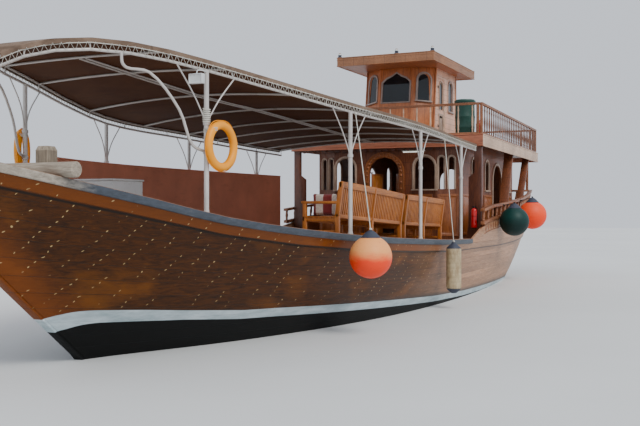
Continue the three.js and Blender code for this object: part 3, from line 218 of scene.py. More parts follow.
def wood(name, dark, light, grain, roughness, coat, wear, seams=None, worn=(150, 140, 125)):
    material = new_finish(name, roughness, Coat_Weight=coat, Coat_Roughness=0.25)
    vector = place(ALONG[grain])
    fibres = noise(vector, 4.2, 8.0, 0.68, 0.6)
    patches = noise(place(), 1.3, 3.0)
    colour = ramp(fibres, (0.32, colour_of(*dark)), (0.66, colour_of(*light)))
    shade = ramp(patches, (0.3, (0.72, 0.70, 0.68)), (0.7, (1.12, 1.1, 1.08)))
    colour = blend_colours(1.0, colour, shade, "MULTIPLY")
    scuffs = between(noise(place((3, 3, 3)), 2.6, 9.0, 0.72), 0.58, 0.72, 0.0, wear)
    colour = blend_colours(scuffs, colour, colour_of(*worn))
    height = fibres
    if seams:
        axis, pitch = seams
        along = axis_values()["xyz".index(axis)]
        part = part_of(over(along, pitch))
        seam = size_of(minus(part, 0.5))
        line = between(seam, 0.5 - 0.006 / pitch, 0.5 - 0.002 / pitch)
        colour = blend_colours(times(line, 0.75), colour, (0.012, 0.009, 0.007, 1))
        height = minus(fibres, line)
    return coated(material, colour, height, 0.003, 0.6)


WOODS = {
    # dark and light tone, grain, roughness, coat, wear, seams, worn tone
    "rail_paint": ((52, 60, 72), (82, 92, 106), "x", 0.55, 0.1, 0.5, None, (120, 122, 120)),
    "rail_top": ((110, 84, 68), (170, 138, 116), "x", 0.7, 0.0, 0.4, None, (84, 86, 92)),
    "weathered_wood": ((120, 112, 102), (172, 164, 152), "y", 0.85, 0.0, 0.5, None, (95, 88, 80)),
    "weathered_post": ((112, 104, 94), (166, 156, 142), "z", 0.85, 0.0, 0.5, None, (90, 84, 76)),
    "quarter_wood": ((92, 58, 40), (150, 106, 78), "x", 0.5, 0.2, 0.25),
    "spindle_wood": ((84, 60, 48), (136, 104, 88), "z", 0.5, 0.2, 0.2),
    "house_wood": ((80, 48, 32), (128, 82, 58), "z", 0.5, 0.1, 0.12, ("z", 0.31)),
    "cabin_wood": ((140, 86, 54), (186, 124, 84), "z", 0.46, 0.15, 0.1, ("y", 0.2)),
    # the wheelhouse's side walls: a paler copy of cabin_wood, a painted highlight on the side-facing boards
    "lit_cabin_side": ((196, 150, 124), (242, 206, 184), "z", 0.5, 0.2, 0.15, ("z", 0.16)),
    "teak": ((124, 74, 32), (180, 120, 62), "x", 0.5, 0.12, 0.12, None, (190, 160, 120)),
    "teak_upright": ((124, 74, 32), (180, 120, 62), "z", 0.5, 0.12, 0.12, None, (190, 160, 120)),
    "dark_wood": ((58, 34, 24), (100, 62, 44), "z", 0.45, 0.25, 0.1),
    "door_wood": ((108, 62, 34), (160, 104, 60), "z", 0.4, 0.35, 0.08),
    "fascia_front": ((118, 72, 54), (158, 104, 80), "y", 0.5, 0.2, 0.12),
    # the fascia's sides: a paler copy of fascia_front, a painted highlight on the side-facing boards
    "lit_fascia_side": ((182, 156, 138), (216, 194, 176), "x", 0.6, 0.1, 0.2, None, (150, 130, 115)),
    "deck_planks": ((122, 92, 68), (164, 132, 102), "x", 0.7, 0.0, 0.3, ("y", 0.14)),
    "roof_wood": ((124, 88, 66), (164, 124, 96), "x", 0.55, 0.1, 0.2, ("y", 0.3)),
    "pale_trim": ((150, 130, 116), (192, 172, 156), "z", 0.55, 0.1, 0.15),
}
finishes = {name: wood(name, *values) for name, values in WOODS.items()}
print(len(finishes), "wood finishes")

# %% [markdown]
# The hull is planked along the sheer and fastened to raked frames, and each fastening is capped with a
# pale plug that shows as a dot. The height of the sheer along the boat is a curve, and plank rows are equal
# shares of it. The painted stripe and the black below it follow two more curves.
# %% Hull curves and plugs
HULL_X = (-10.0, 13.0)
SHEER = ((-9.87, 1.44), (-7.59, 1.35), (-5.17, 1.325), (-0.24, 1.365), (2.28, 1.465), (4.59, 1.585),
         (6.48, 1.745), (8.06, 1.95), (9.42, 2.2), (10.58, 2.43), (12.59, 2.87))
STRIPE_TOP = ((-9.87, 0.04), (-8.85, 0.053), (-2.34, 0.158), (0.18, 0.236), (3.44, 0.40), (6.11, 0.525),
              (6.8, 0.55), (7.98, 0.651), (8.64, 0.713), (9.26, 0.757), (9.47, 0.762), (9.63, 0.745),
              (9.75, 0.717), (9.87, 0.683))
STRIPE_WIDTH = ((-9.87, 0.10), (0.18, 0.13), (4.84, 0.145), (7.87, 0.146), (8.51, 0.169), (9.14, 0.184),
                (9.34, 0.206), (9.5, 0.252), (9.65, 0.273))
PLANK_ROWS = 11
FRAME_PITCH = 0.36
FRAME_LEAN = 0.5
PLUG_STEP = 0.072
WALE_DROP = 0.15
FADED_X = (2.4, -1.8)
STEM_X, STEM_RAKE = 9.0, 1.249


def along_hull(x, points, highest):
    """A value that follows a curve of (x, value) points from stern to stem."""
    low, high = HULL_X
    made = wire("FloatCurve", Value=between(x, low, high))
    curve = made.mapping.curves[0]
    while len(curve.points) < len(points):
        curve.points.new(0.5, 0.5)
    for knot, (px, value) in zip(curve.points, points):
        knot.location = ((px - low) / (high - low), value / highest)
        knot.handle_type = "VECTOR"
    made.mapping.update()
    return times(made.outputs["Value"], highest)


def dots(u, v, wide, tall):
    """Round dots at whole numbers of u and v, given the cell's size in metres."""
    reach = []
    for value, size in ((u, wide), (v, tall)):
        near = size_of(minus(part_of(value), 0.5))
        reach.append(power(times(near, size), 2.0))
    return root_of(plus(*reach))

# %% [markdown]
# Three functions give the planks, the plugs and the painted bands. Each works on the same few fields: x,
# z, the drop under the rail and the noise along the grain.
# %% Planks, plugs and bands
def hull_planks(x, z, under, rows, fibres, patches):
    """Colour of the varnished planks, row by row, and the lines of the seams between them."""
    colour = ramp(fibres, (0.3, colour_of(36, 22, 7)), (0.7, colour_of(84, 52, 18)))
    golden = between(patches, 0.54, 0.70, 0.0, 0.6)
    colour = blend_colours(golden, colour, colour_of(122, 78, 26))
    strake = times(between(under, WALE_DROP, WALE_DROP - 0.02), 0.5)
    colour = blend_colours(strake, colour, colour_of(128, 76, 36))
    ahead = minus(x, times(z, STEM_RAKE))
    stem = plus(ahead, times(patches, 0.5))
    colour = blend_colours(between(stem, STEM_X - 0.35, STEM_X + 0.1, 0.0, 0.5), colour,
                           colour_of(130, 76, 32))
    faded = ramp(fibres, (0.3, colour_of(140, 108, 86)), (0.7, colour_of(186, 152, 128)))
    colour = blend_colours(between(x, *FADED_X), colour, faded)
    plank = wire("CombineXYZ", Y=below_of(rows), X=times(x, 0.12)).outputs["Vector"]
    tone = ramp(noise(plank, 1.7, 1.0), (0.3, (0.62, 0.6, 0.58)), (0.7, (1.2, 1.16, 1.12)))
    colour = blend_colours(0.8, colour, tone, "MULTIPLY")
    seam = size_of(minus(part_of(rows), 0.5))
    line = between(seam, 0.468, 0.492)
    colour = blend_colours(times(line, 0.4), colour, (0.01, 0.007, 0.005, 1))
    # Painted shadow: the seam under the top strake is darkened well past the other seams, standing in for
    # the shade under the strake's edge.
    wale_seam_and_shadow = between(size_of(minus(under, WALE_DROP)), 0.024, 0.008)
    colour = blend_colours(times(wale_seam_and_shadow, 0.85), colour, (0.008, 0.006, 0.004, 1))
    return colour, line


def plug_heads(x, z, sheer, under, patches):
    """Pale plugs over the fastenings: dots where the raked frames cross even rows under the rail."""
    frames = over(plus(x, times(z, FRAME_LEAN)), FRAME_PITCH)
    frames = plus(frames, times(noise(place(), 2.2, 2.0), 0.9))
    heads = dots(frames, over(under, PLUG_STEP), FRAME_PITCH * 1.4, PLUG_STEP)
    there = between(noise(place(), 5.0, 1.0), 0.48, 0.54)
    above = plus(over(z, sheer), times(patches, 0.3))
    there = times(there, between(above, 0.42, 0.56))
    return times(between(heads, 0.0145, 0.0095), there)


def painted_bands(x, z, colour):
    """Adds the shade above the stripe, the stripe and the black below it; gives the stripe's field too."""
    top = minus(z, along_hull(x, STRIPE_TOP, 1.0))
    shadow = between(top, 0.10, 0.02)
    shadow = times(shadow, between(x, 5.0, 1.0, 0.0, 0.85))
    colour = blend_colours(shadow, colour, colour_of(62, 58, 56))
    painted = between(top, 0.006, -0.004)
    stain = ramp(noise(place((0.8, 1, 4)), 2.0, 6.0, 0.7),
                 (0.35, colour_of(166, 180, 184)), (0.65, colour_of(208, 218, 222)))
    colour = blend_colours(painted, colour, stain)
    below = plus(top, along_hull(x, STRIPE_WIDTH, 0.3))
    black = between(below, 0.006, -0.004)
    slime = ramp(noise(place(), 5.0, 8.0, 0.7), (0.35, colour_of(4, 5, 6)), (0.7, colour_of(14, 15, 15)))
    colour = blend_colours(black, colour, slime)
    return colour, painted

# %% [markdown]
# The whole finish lays planks, plugs and bands over each other. The same fields lift the surface a
# little, and the stripe is duller than the varnish.
# %% Hull finish
def hull_finish():
    material = new_finish("hull_varnish", 0.46, Specular_IOR_Level=0.22)
    x, _, z = axis_values()
    sheer = along_hull(x, SHEER, 3.0)
    rows = times(over(z, sheer), PLANK_ROWS)
    fibres = noise(place((0.7, 3.0, 9.0)), 3.2, 8.0, 0.7, 0.8)
    patches = noise(place((0.5, 1, 1.2)), 1.1, 4.0)
    under = minus(sheer, z)
    colour, line = hull_planks(x, z, under, rows, fibres, patches)
    plugs = plug_heads(x, z, sheer, under, patches)
    colour = blend_colours(times(plugs, 0.8), colour, colour_of(204, 180, 136))
    colour, painted = painted_bands(x, z, colour)
    height = plus(minus(times(fibres, 0.35), line), times(plugs, 0.4))
    return coated(material, colour, height, 0.005, 0.7, Roughness=between(painted, 0.0, 1.0, 0.40, 0.62))


finishes["hull_varnish"] = hull_finish()

# %% [markdown]
# Painted tubes, boards, metal, ring plastic and rope share one recipe: an even coat, a little darker in
# patches, with chips or streaks where the weather has been at it.
# %% Painted finishes
def paint(name, base, mark, roughness, metallic, share, scale=9.0, streak=(1, 1, 1), coat=0.0):
    material = new_finish(name, roughness, metallic, Coat_Weight=coat)
    field = noise(place(streak), scale, 8.0, 0.68)
    marks = between(field, 0.56, 0.70, 0.0, share)
    shade = ramp(noise(place(), 1.6, 3.0), (0.3, (0.86, 0.86, 0.86)), (0.7, (1.06, 1.06, 1.06)))
    colour = blend_colours(marks, colour_of(*base), colour_of(*mark))
    return coated(material, blend_colours(1.0, colour, shade, "MULTIPLY"), field, 0.0012, 0.4)


PAINTS = {
    # base and mark tone, roughness, metal, share of marks, their scale, streak, coat
    "tube_paint": ((202, 198, 194), (144, 138, 132), 0.36, 0.2, 0.5, 7.0, (1, 1, 0.3)),
    "white_paint": ((222, 224, 224), (170, 165, 158), 0.45, 0.0, 0.4),
    "red_paint": ((176, 24, 32), (90, 20, 20), 0.3, 0.0, 0.3, 9.0, (1, 1, 1), 0.4),
    "screen_paint": ((218, 150, 126), (192, 130, 108), 0.6, 0.0, 0.6, 3.0, (0.5, 1, 2)),
    "drum_paint": ((30, 66, 58), (60, 90, 82), 0.45, 0.0, 0.35),
    "engine_paint": ((70, 78, 80), (40, 34, 30), 0.5, 0.3, 0.6, 14.0),
    "bronze": ((168, 128, 70), (96, 104, 84), 0.38, 0.85, 0.6, 12.0),
    "black_cap": ((60, 64, 76), (84, 88, 96), 0.6, 0.0, 0.4),
    "black_iron": ((30, 30, 32), (70, 60, 52), 0.45, 0.6, 0.4),
    "lamp_body": ((214, 212, 204), (150, 146, 138), 0.4, 0.0, 0.3),
    "clear_dome": ((206, 210, 208), (170, 172, 168), 0.15, 0.0, 0.2, 9.0, (1, 1, 1), 0.5),
    "ring_plastic": ((255, 156, 0), (238, 126, 0), 0.5, 0.0, 0.5, 4.0),
    "rope": ((206, 204, 196), (150, 144, 132), 0.9, 0.0, 0.5, 40.0),
    "dark_rope": ((60, 58, 56), (110, 104, 96), 0.9, 0.0, 0.5, 40.0),
}
finishes.update({name: paint(name, *values) for name, values in PAINTS.items()})

# %% [markdown]
# The fenders are plastic. A ball is bleached by the sun on top and scuffed round the middle. The
# bleaching follows the height of each ball, so the finish is given the ball's own middle.
# %% Plastic finishes
def ball_plastic(name, body, crown, middle, radius, fade):
    material = new_finish(name, 0.5, Specular_IOR_Level=0.3)
    z = axis_values()[2]
    wander = times(noise(place((1, 1, 2.5)), 4.0, 5.0), radius * 0.5)
    height = plus(z, wander)
    share = between(height, middle + 0.05 * radius, middle + 0.55 * radius, 0.0, fade)
    colour = blend_colours(share, colour_of(*body), colour_of(*crown))
    scuffs = between(noise(place((6, 6, 22)), 2.0, 8.0, 0.75), 0.56, 0.70, 0.0, 0.4)
    colour = blend_colours(scuffs, colour, colour_of(*[round(v * 0.55 + 40) for v in body]))
    return coated(material, colour, noise(place(), 60.0, 3.0), 0.001, 0.25)


def long_plastic():
    material = new_finish("fender_cream", 0.6)
    stains = noise(place((4, 4, 1.4)), 2.6, 8.0, 0.7)
    colour = ramp(stains, (0.3, colour_of(136, 116, 90)), (0.62, colour_of(186, 172, 144)))
    return coated(material, colour, stains, 0.002, 0.4)


finishes["fender_cream"] = long_plastic()

# %% [markdown]
# The awning is coated canvas: bleached and streaked by rain on top, and even dark brown underneath. A
# fine crossed weave lifts both sides, and a stitched seam joins the cloths every metre and a bit.
# %% Cloth finishes
SEAM_PITCH = 1.32


def canvas_finish(name, low, high, streaks, seam_tone):
    material = new_finish(name, 0.88, Specular_IOR_Level=0.3)
    x = axis_values()[0]
    stains = noise(place(streaks), 1.5, 9.0, 0.7, 0.5)
    colour = ramp(stains, (0.32, colour_of(*low)), (0.68, colour_of(*high)))
    near = size_of(minus(part_of(over(x, SEAM_PITCH)), 0.5))
    seam = between(near, 0.487, 0.494)
    colour = blend_colours(times(seam, 0.5), colour, colour_of(*seam_tone))
    weave = wire("TexWave", {"bands_direction": "X"}, Vector=place(), Scale=60.0).outputs["Fac"]
    cross = wire("TexWave", {"bands_direction": "Y"}, Vector=place(), Scale=60.0).outputs["Fac"]
    cloth = times(times(weave, cross), 0.3)
    return coated(material, colour, plus(cloth, plus(seam, stains)), 0.002, 0.5)


def striped_cloth(name, base, band, axis, pitch, share):
    """Woven cloth with broad bands across it."""
    material = new_finish(name, 0.92, Sheen_Weight=0.3)
    along = axis_values()["xyz".index(axis)]
    part = part_of(over(along, pitch))
    stripe = between(part, share - 0.02, share + 0.02, 1.0, 0.0)
    fuzz = ramp(noise(place(), 45.0, 4.0), (0.3, (0.78, 0.78, 0.78)), (0.7, (1.1, 1.1, 1.1)))
    colour = blend_colours(stripe, colour_of(*base), colour_of(*band))
    weave = wire("TexWave", {"bands_direction": "DIAGONAL"}, Vector=place(), Scale=90.0).outputs["Fac"]
    return coated(material, blend_colours(1.0, colour, fuzz, "MULTIPLY"), weave, 0.0012, 0.6)


finishes["canvas_top"] = canvas_finish("canvas_top", (92, 78, 68), (136, 119, 106), (0.5, 2.2, 2.2),
                                       (80, 68, 60))
finishes["canvas_under"] = canvas_finish("canvas_under", (68, 43, 24), (86, 58, 36), (1, 1, 1), (50, 34, 20))
finishes["cushion_cloth"] = striped_cloth("cushion_cloth", (116, 30, 34), (98, 24, 28), "x", 0.22, 0.5)
finishes["bolster_cloth"] = striped_cloth("bolster_cloth", (112, 46, 46), (198, 186, 176), "y", 0.31, 0.45)

# %% [markdown]
# Window panes are smoked glass, nearly black from outside, and the lamp inside the side door glows warm.
# %% Glass and lamps
def glass_finish():
    material = new_finish("window_glass", 0.05, Transmission_Weight=0.5, IOR=1.45)
    tint = ramp(noise(place(), 2.0, 3.0), (0.3, colour_of(30, 34, 38)), (0.7, colour_of(52, 58, 62)))
    return coated(material, tint)


def glow_finish(name, tone, strength):
    material = new_finish(name, 0.4, Emission_Strength=strength)
    spots = ramp(noise(place(), 6.0, 2.0), (0.3, colour_of(*[v * 0.9 for v in tone])),
                 (0.7, colour_of(*tone)))
    return coated(material, spots, Emission_Color=spots)


finishes["window_glass"] = glass_finish()
finishes["warm_lamp"] = glow_finish("warm_lamp", (255, 196, 96), 4.0)
finishes["tube_lamp"] = glow_finish("tube_lamp", (236, 240, 232), 1.2)
print(len(finishes), "finishes in all")

# %% [markdown]
# Every piece goes through the same steps: it is selected, shaped, and settled with its name, its finish
# and the body that it rides on.
# %% Selecting and settling
BOAT = "boat"
WELD_GAP, FLAT_ANGLE = 0.00005, math.radians(0.4)
SIDES = (("port", 1), ("starboard", -1))


def apply_all():
    bpy.ops.object.transform_apply(location=True, rotation=True, scale=True)


def pull(x, y, z):
    """Extrudes the selected faces, in edit mode."""
    bpy.ops.mesh.extrude_region_move(TRANSFORM_OT_translate={"value": (x, y, z)})


def leave_edit():
    bpy.ops.object.mode_set(mode="OBJECT")


def clear_selection():
    if bpy.context.object and bpy.context.object.mode != "OBJECT":
        leave_edit()
    bpy.ops.object.select_all(action="DESELECT")


def make_active(piece):
    clear_selection()
    piece.select_set(True)
    bpy.context.view_layer.objects.active = piece
    return piece


def edit_all():
    bpy.ops.object.mode_set(mode="EDIT")
    bpy.ops.mesh.select_all(action="SELECT")


def close_outward():
    """Leaves edit mode with every face pointing outwards."""
    bpy.ops.mesh.select_all(action="SELECT")
    bpy.ops.mesh.normals_make_consistent(inside=False)
    leave_edit()


def apply_modifier(piece, kind, **settings):
    make_active(piece)
    modifier = piece.modifiers.new(kind.lower(), kind)
    for key, value in settings.items():
        setattr(modifier, key, value)
    bpy.ops.object.modifier_apply(modifier=modifier.name)
    return piece


def settle(piece, name, finish, stands_for=None, smooth=40, body=BOAT):
    """Settles a finished piece, or a list of boards as one: place in its mesh, name, finish and body."""
    piece = together(piece) if isinstance(piece, list) else piece
    make_active(piece)
    apply_all()
    bpy.ops.object.shade_smooth_by_angle(angle=math.radians(smooth))
    piece.name = name
    piece.data.name = name
    piece.data.materials.clear()
    piece.data.materials.append(finishes[finish])
    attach(piece, body)
    if stands_for:
        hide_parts(stands_for)
    return piece

# %% [markdown]
# Most solids already have the right shape but hard edges. `dressed` takes a merged copy of a CAD node,
# dissolves the loose triangles, rounds its edges with a Bevel modifier, and lets the copy stand for it.
# %% Copies of the solids
def eased(piece, width, segments=2, angle=50):
    """Rounds the edges that are sharper than `angle`."""
    return apply_modifier(piece, "BEVEL", width=width, segments=segments, limit_method="ANGLE",
                          angle_limit=math.radians(angle))


def solid_copy(node):
    """A merged copy of a CAD node, with its flat faces whole again."""
    source = nodes[node]
    copy = bpy.data.objects.new(node + "_copy", source.data.copy())
    bpy.context.scene.collection.objects.link(copy)
    for key in [k for k in copy.keys() if k.startswith("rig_")]:
        del copy[key]
    make_active(copy)
    edit_all()
    bpy.ops.mesh.remove_doubles(threshold=WELD_GAP)
    bpy.ops.mesh.dissolve_limited(angle_limit=FLAT_ANGLE)
    bpy.ops.mesh.customdata_custom_splitnormals_clear()
    leave_edit()
    return copy


def dressed(node, name, finish, edge, body=BOAT, segments=2):
    """A CAD node with its edges rounded, which stands for the node."""
    return settle(eased(solid_copy(node), edge, segments, 32), name, finish, node, smooth=35,
                  body=body)

# %% [markdown]
# Boards start as a cube and turned pieces as a disc, and both are shaped in edit mode.
# %% Boards and turned pieces
def board(low, high, edge):
    """A planed board between two corners, its edges rounded in edit mode."""
    low, high = Vector(low), Vector(high)
    clear_selection()
    bpy.ops.mesh.primitive_cube_add(size=1, location=(low + high) / 2)
    made = bpy.context.object
    made.scale = high - low
    apply_all()
    if edge:
        edit_all()
        bpy.ops.mesh.bevel(offset=edge, segments=2)
        leave_edit()
    return made


def turned(profile, sides):
    """A turned piece on the Z axis: a disc is pulled up step by step and widened or narrowed."""
    (z, radius), *steps = profile
    clear_selection()
    bpy.ops.mesh.primitive_circle_add(vertices=sides, radius=radius, location=(0, 0, z), fill_type="NGON")
    bpy.ops.object.transform_apply(location=True)
    edit_all()
    for next_z, next_radius in steps:
        pull(0, 0, next_z - z)
        grow = next_radius / radius
        bpy.ops.transform.resize(value=(grow, grow, 1), center_override=(0, 0, next_z))
        z, radius = next_z, next_radius
    close_outward()
    return bpy.context.object

# %% [markdown]
# A piece is moved in its mesh, so that its object stays at the origin.
# %% Moving, copying and joining
def move_mesh(piece, shift):
    piece.data.transform(Matrix.Translation(shift))
    return piece


def turn_by(degrees, axis):
    return Matrix.Rotation(math.radians(degrees), 4, axis)


def tipped(piece, degrees, axis="Y"):
    """Turns a piece about an axis through the origin."""
    piece.data.transform(turn_by(degrees, axis))
    return piece


def mirrored(piece):
    """Swaps port and starboard."""
    piece.data.transform(Matrix.Scale(-1, 4, (0, 1, 0)))
    piece.data.flip_normals()
    return piece


def fan(piece, count):
    """Copies of a piece turned evenly about the X axis, each with its own mesh."""
    copies = []
    for i in range(count):
        copy = piece.copy()
        copy.data = piece.data.copy()
        bpy.context.scene.collection.objects.link(copy)
        copy.data.transform(Matrix.Rotation(2 * math.pi * i / count, 4, "X"))
        copies.append(copy)
    bpy.data.objects.remove(piece)
    return copies


def row_of(piece, count, step):
    """Repeats a piece in a row, as one mesh."""
    return apply_modifier(piece, "ARRAY", count=count, use_relative_offset=False, use_constant_offset=True,
                          constant_offset_displace=step)


def together(pieces):
    """Joins finished boards into one piece."""
    clear_selection()
    for piece in pieces:
        piece.select_set(True)
    bpy.context.view_layer.objects.active = pieces[0]
    if len(pieces) > 1:
        bpy.ops.object.join()
    return bpy.context.object

# %% [markdown]
# Tubes, ropes and mouldings are curves with a round bevel, turned into meshes.
# %% Bars and second finishes
def round_bar(points, radius, sides, cyclic=False):
    """A round bar or cord along a line of points, made as a curve and turned into a mesh."""
    line = bpy.data.curves.new("bar", "CURVE")
    line.dimensions = "3D"
    line.bevel_depth = radius
    line.bevel_resolution = sides
    line.use_fill_caps = True
    spline = line.splines.new("POLY")
    spline.points.add(len(points) - 1)
    for knot, place_at in zip(spline.points, points):
        knot.co = (*place_at, 1)
    spline.use_cyclic_u = cyclic
    made = bpy.data.objects.new("bar", line)
    bpy.context.scene.collection.objects.link(made)
    make_active(made)
    bpy.ops.object.convert(target="MESH")
    return bpy.context.object


def second_finish(piece, finish, wanted):
    """Gives one more finish to the faces that `wanted` picks, and says how many they are."""
    piece.data.materials.append(finishes[finish])
    index = len(piece.data.materials) - 1
    picked = [face for face in piece.data.polygons if wanted(face)]
    for face in picked:
        face.material_index = index
    return len(picked)

# %% [markdown]
# The hull's lines come from stations: each gives a foot on the keel and a head at the deck edge. The
# same spline that lofts the solids is written here once, because the quarter's balusters and the fender
# lines have to follow it.
# %% Hull lines
STATION_ROWS = (
    # foot x, foot z, head x, head z, half width at the head
    (7.824, -0.945, 12.59, 2.87, 0.08), (7.32, -1.05, 11.73, 2.68, 0.64), (6.69, -1.13, 10.575, 2.43, 1.175),
    (5.85, -1.19, 9.42, 2.2, 1.56), (4.8, -1.23, 8.055, 1.95, 1.86), (3.54, -1.26, 6.48, 1.745, 2.34),
    (2.175, -1.28, 4.59, 1.585, 2.69), (0.6, -1.29, 2.28, 1.465, 2.83), (-1.08, -1.29, -0.24, 1.365, 2.85),
    (-2.76, -1.28, -2.76, 1.325, 2.81), (-4.44, -1.23, -5.175, 1.325, 2.75),
    (-6.12, -1.08, -7.59, 1.35, 2.63), (-7.485, -0.8, -9.06, 1.39, 2.5), (-8.43, -0.42, -9.87, 1.44, 2.39),
)
LAST_STATION = len(STATION_ROWS) - 1
FEET = [Vector((row[0], 0, row[1])) for row in STATION_ROWS]
HEADS = [Vector((row[2], row[4], row[3])) for row in STATION_ROWS]
RING_STEP = 0.5
HALVINGS = 40


def spline_point(points, share):
    """A point on a smooth curve through the given ones, slower where they lie close together."""
    last = len(points) - 1
    index = min(int(share * last), last - 1)
    along = share * last - index
    p1, p2 = points[index], points[index + 1]
    p0 = points[index - 1] if index else 2 * p1 - p2
    p3 = points[index + 2] if index + 2 <= last else 2 * p2 - p1
    gap_0, gap_1, gap_2 = (math.sqrt((b - a).length) for a, b in ((p0, p1), (p1, p2), (p2, p3)))
    start = ((p1 - p0) / gap_0 - (p2 - p0) / (gap_0 + gap_1) + (p2 - p1) / gap_1) * gap_1
    end = ((p2 - p1) / gap_1 - (p3 - p1) / (gap_1 + gap_2) + (p3 - p2) / gap_2) * gap_1
    square, cube = along ** 2, along ** 3
    bend, twist = 3 * (p2 - p1) - 2 * start - end, 2 * (p1 - p2) + start + end
    return p1 + start * along + bend * square + twist * cube

# %% [markdown]
# Between two rings the hull is straight, so a place on it is read from the two rings beside it.
# %% Places on the hull
def station(place_at):
    """Head and rake at a place along the stations, straight between the hull's rings."""
    before = min(math.floor(place_at / RING_STEP) * RING_STEP, LAST_STATION - RING_STEP)
    share = (place_at - before) / RING_STEP
    foot, head = (spline_point(line, before / LAST_STATION).lerp(
        spline_point(line, (before + RING_STEP) / LAST_STATION), share) for line in (FEET, HEADS))
    return head, (head.x - foot.x) / (head.z - foot.z)


def place_of_head(x):
    """The place along the stations whose head lies at x, found by halving."""
    low, high = 0.0, float(LAST_STATION)
    for _ in range(HALVINGS):
        middle = (low + high) / 2
        if station(middle)[0].x > x:
            low = middle
        else:
            high = middle
    return (low + high) / 2


print("deck edge amidships", [round(v, 3) for v in station(8)[0]])

# %% [markdown]
# The hull itself is one planked shell. The lofted solid has the right lines, so its copy only needs
# smooth shading over the flat strips, varnish outside and scrubbed planks on the deck.
# %% Hull
WELL_X = (-6.5, -4.5)
hull = solid_copy("hull")
settle(hull, "planked_hull", "hull_varnish", "hull", smooth=28)
deck_faces = second_finish(hull, "deck_planks", lambda f: f.normal.z > 0.8 and f.center.z > 1.2)
well_faces = second_finish(hull, "dark_wood", lambda f: abs(f.center.y) < 0.6
                           and WELL_X[0] < f.center.x < WELL_X[1]
                           and f.center.z > -0.61 and abs(f.normal.z) < 0.5)
print("deck faces", deck_faces, "well faces", well_faces)

dressed("keel_and_stem", "keel_timber", "hull_varnish", 0.012)

# %% [markdown]
# The rail cap is painted blue-grey over most of its length and weathered bare at the bow, where ropes
# have rubbed it. The two states are one finish that fades from one to the other along X.
# %% Rails
RAIL_BARE_X = (10.3, 10.9)


def rail_finish():
    material = new_finish("rail_cap_paint", 0.55, Coat_Weight=0.08)
    x = axis_values()[0]
    fibres = noise(place((0.9, 6, 6)), 4.0, 8.0, 0.7, 0.5)
    painted = ramp(fibres, (0.3, colour_of(46, 50, 56)), (0.7, colour_of(72, 78, 86)))
    bare = ramp(fibres, (0.3, colour_of(120, 112, 102)), (0.7, colour_of(178, 170, 158)))
    worn = between(noise(place((2, 6, 6)), 3.0, 8.0, 0.75), 0.58, 0.72, 0.0, 0.45)
    colour = blend_colours(worn, painted, colour_of(120, 116, 112))
    share = plus(x, times(fibres, 0.5))
    colour = blend_colours(between(share, *[v + 0.25 for v in RAIL_BARE_X]), colour, bare)
    return coated(material, colour, fibres, 0.003, 0.6)


finishes["rail_cap_paint"] = rail_finish()
for side in ("port", "starboard"):
    rail = dressed("rail_cap_" + side, "rail_" + side, "rail_cap_paint", 0.012,
                   segments=3)
    second_finish(rail, "rail_top", lambda f: f.normal.z > 0.5)

# %% [markdown]
# On the foredeck lie the mooring gear: a round log from rail to rail, two square bitts with chamfered
# heads, and a white locker. The log is turned from a cylinder with slightly uneven ends.
# %% Bow fittings
LOG_HALF = 1.33
LOG_RADIUS = 0.1
LOG_AT = Vector((10.68, 0, 2.668))
log = turned([(-LOG_HALF, 0.088), (-LOG_HALF + 0.012, LOG_RADIUS), (-0.7, 0.0965), (0.0, 0.0985),
              (0.75, 0.096), (LOG_HALF - 0.012, LOG_RADIUS), (LOG_HALF, 0.088)], 24)
log.data.transform(Matrix.Translation(LOG_AT) @ turn_by(90, "X"))
settle(log, "mooring_log", "weathered_wood", "bow_log")
for side in ("port", "starboard"):
    dressed("bitt_" + side, "mooring_bitt_" + side, "weathered_post", 0.016)
dressed("foredeck_locker", "locker_box", "white_paint", 0.03, segments=4)
dressed("foredeck_locker_lid", "locker_cover", "white_paint", 0.014, "locker_lid", segments=3)

# %% [markdown]
# The awning frame follows one edge line: an oval nose at the bow, then the heads of four posts a side.
# The line is bent where the real tube is, so the same points place tubes, bows, canvas and lacing.
# %% Awning edge line
POST_HEADS = [Vector(p) for p in ((8.318, 1.7, 4.179), (5.126, 2.604, 3.854), (1.892, 2.793, 3.77),
                                  (-1.238, 2.751, 3.665))]
AFT_END = Vector((-2.603, 2.73, 3.633))
NOSE_CENTRE_X, NOSE_LENGTH, NOSE_HALF, NOSE_Z, NOSE_SWELL, NOSE_STEPS = 5.325, 5.25, 2.069, 4.04, 0.165, 6
BENDS = ((0, 0.2, 0.5, 0.8), (0, 0.22, 0.44, 0.72), (0, 0.38, 0.76), (0, 0.34))
CROWN = ((10.575, 0), (8.318, 0.04), (6.4, 0.14), (3.86, 0.225), (1.82, 0.185), (-1.46, 0.165),
         (-2.603, 0.165))
BAND = 0.125


def nose_and_posts():
    sweep = math.acos((POST_HEADS[0].x - NOSE_CENTRE_X) / NOSE_LENGTH)
    line = []
    for step in range(NOSE_STEPS):
        share = step / NOSE_STEPS
        z = NOSE_Z + (POST_HEADS[0].z - NOSE_Z) * share + NOSE_SWELL * math.sin(math.pi * share)
        line.append(Vector((NOSE_CENTRE_X + NOSE_LENGTH * math.cos(sweep * share),
                            NOSE_HALF * math.sin(sweep * share), z)))
    return line + POST_HEADS + [AFT_END]


edge_knots = nose_and_posts()
edge_shares = [(i + bend) / (len(edge_knots) - 1) for i in range(len(edge_knots) - 1)
               for bend in (BENDS[i - NOSE_STEPS] if i >= NOSE_STEPS else (0,))] + [1]
edge_points = [spline_point(edge_knots, share) for share in edge_shares]


def table_value(table, x):
    """A value read from rows of (x, value) whose x falls."""
    for (high, first), (low, second) in zip(table, table[1:]):
        if x >= low:
            break
    share = min(max((high - x) / (high - low), 0), 1)
    return first + (second - first) * share


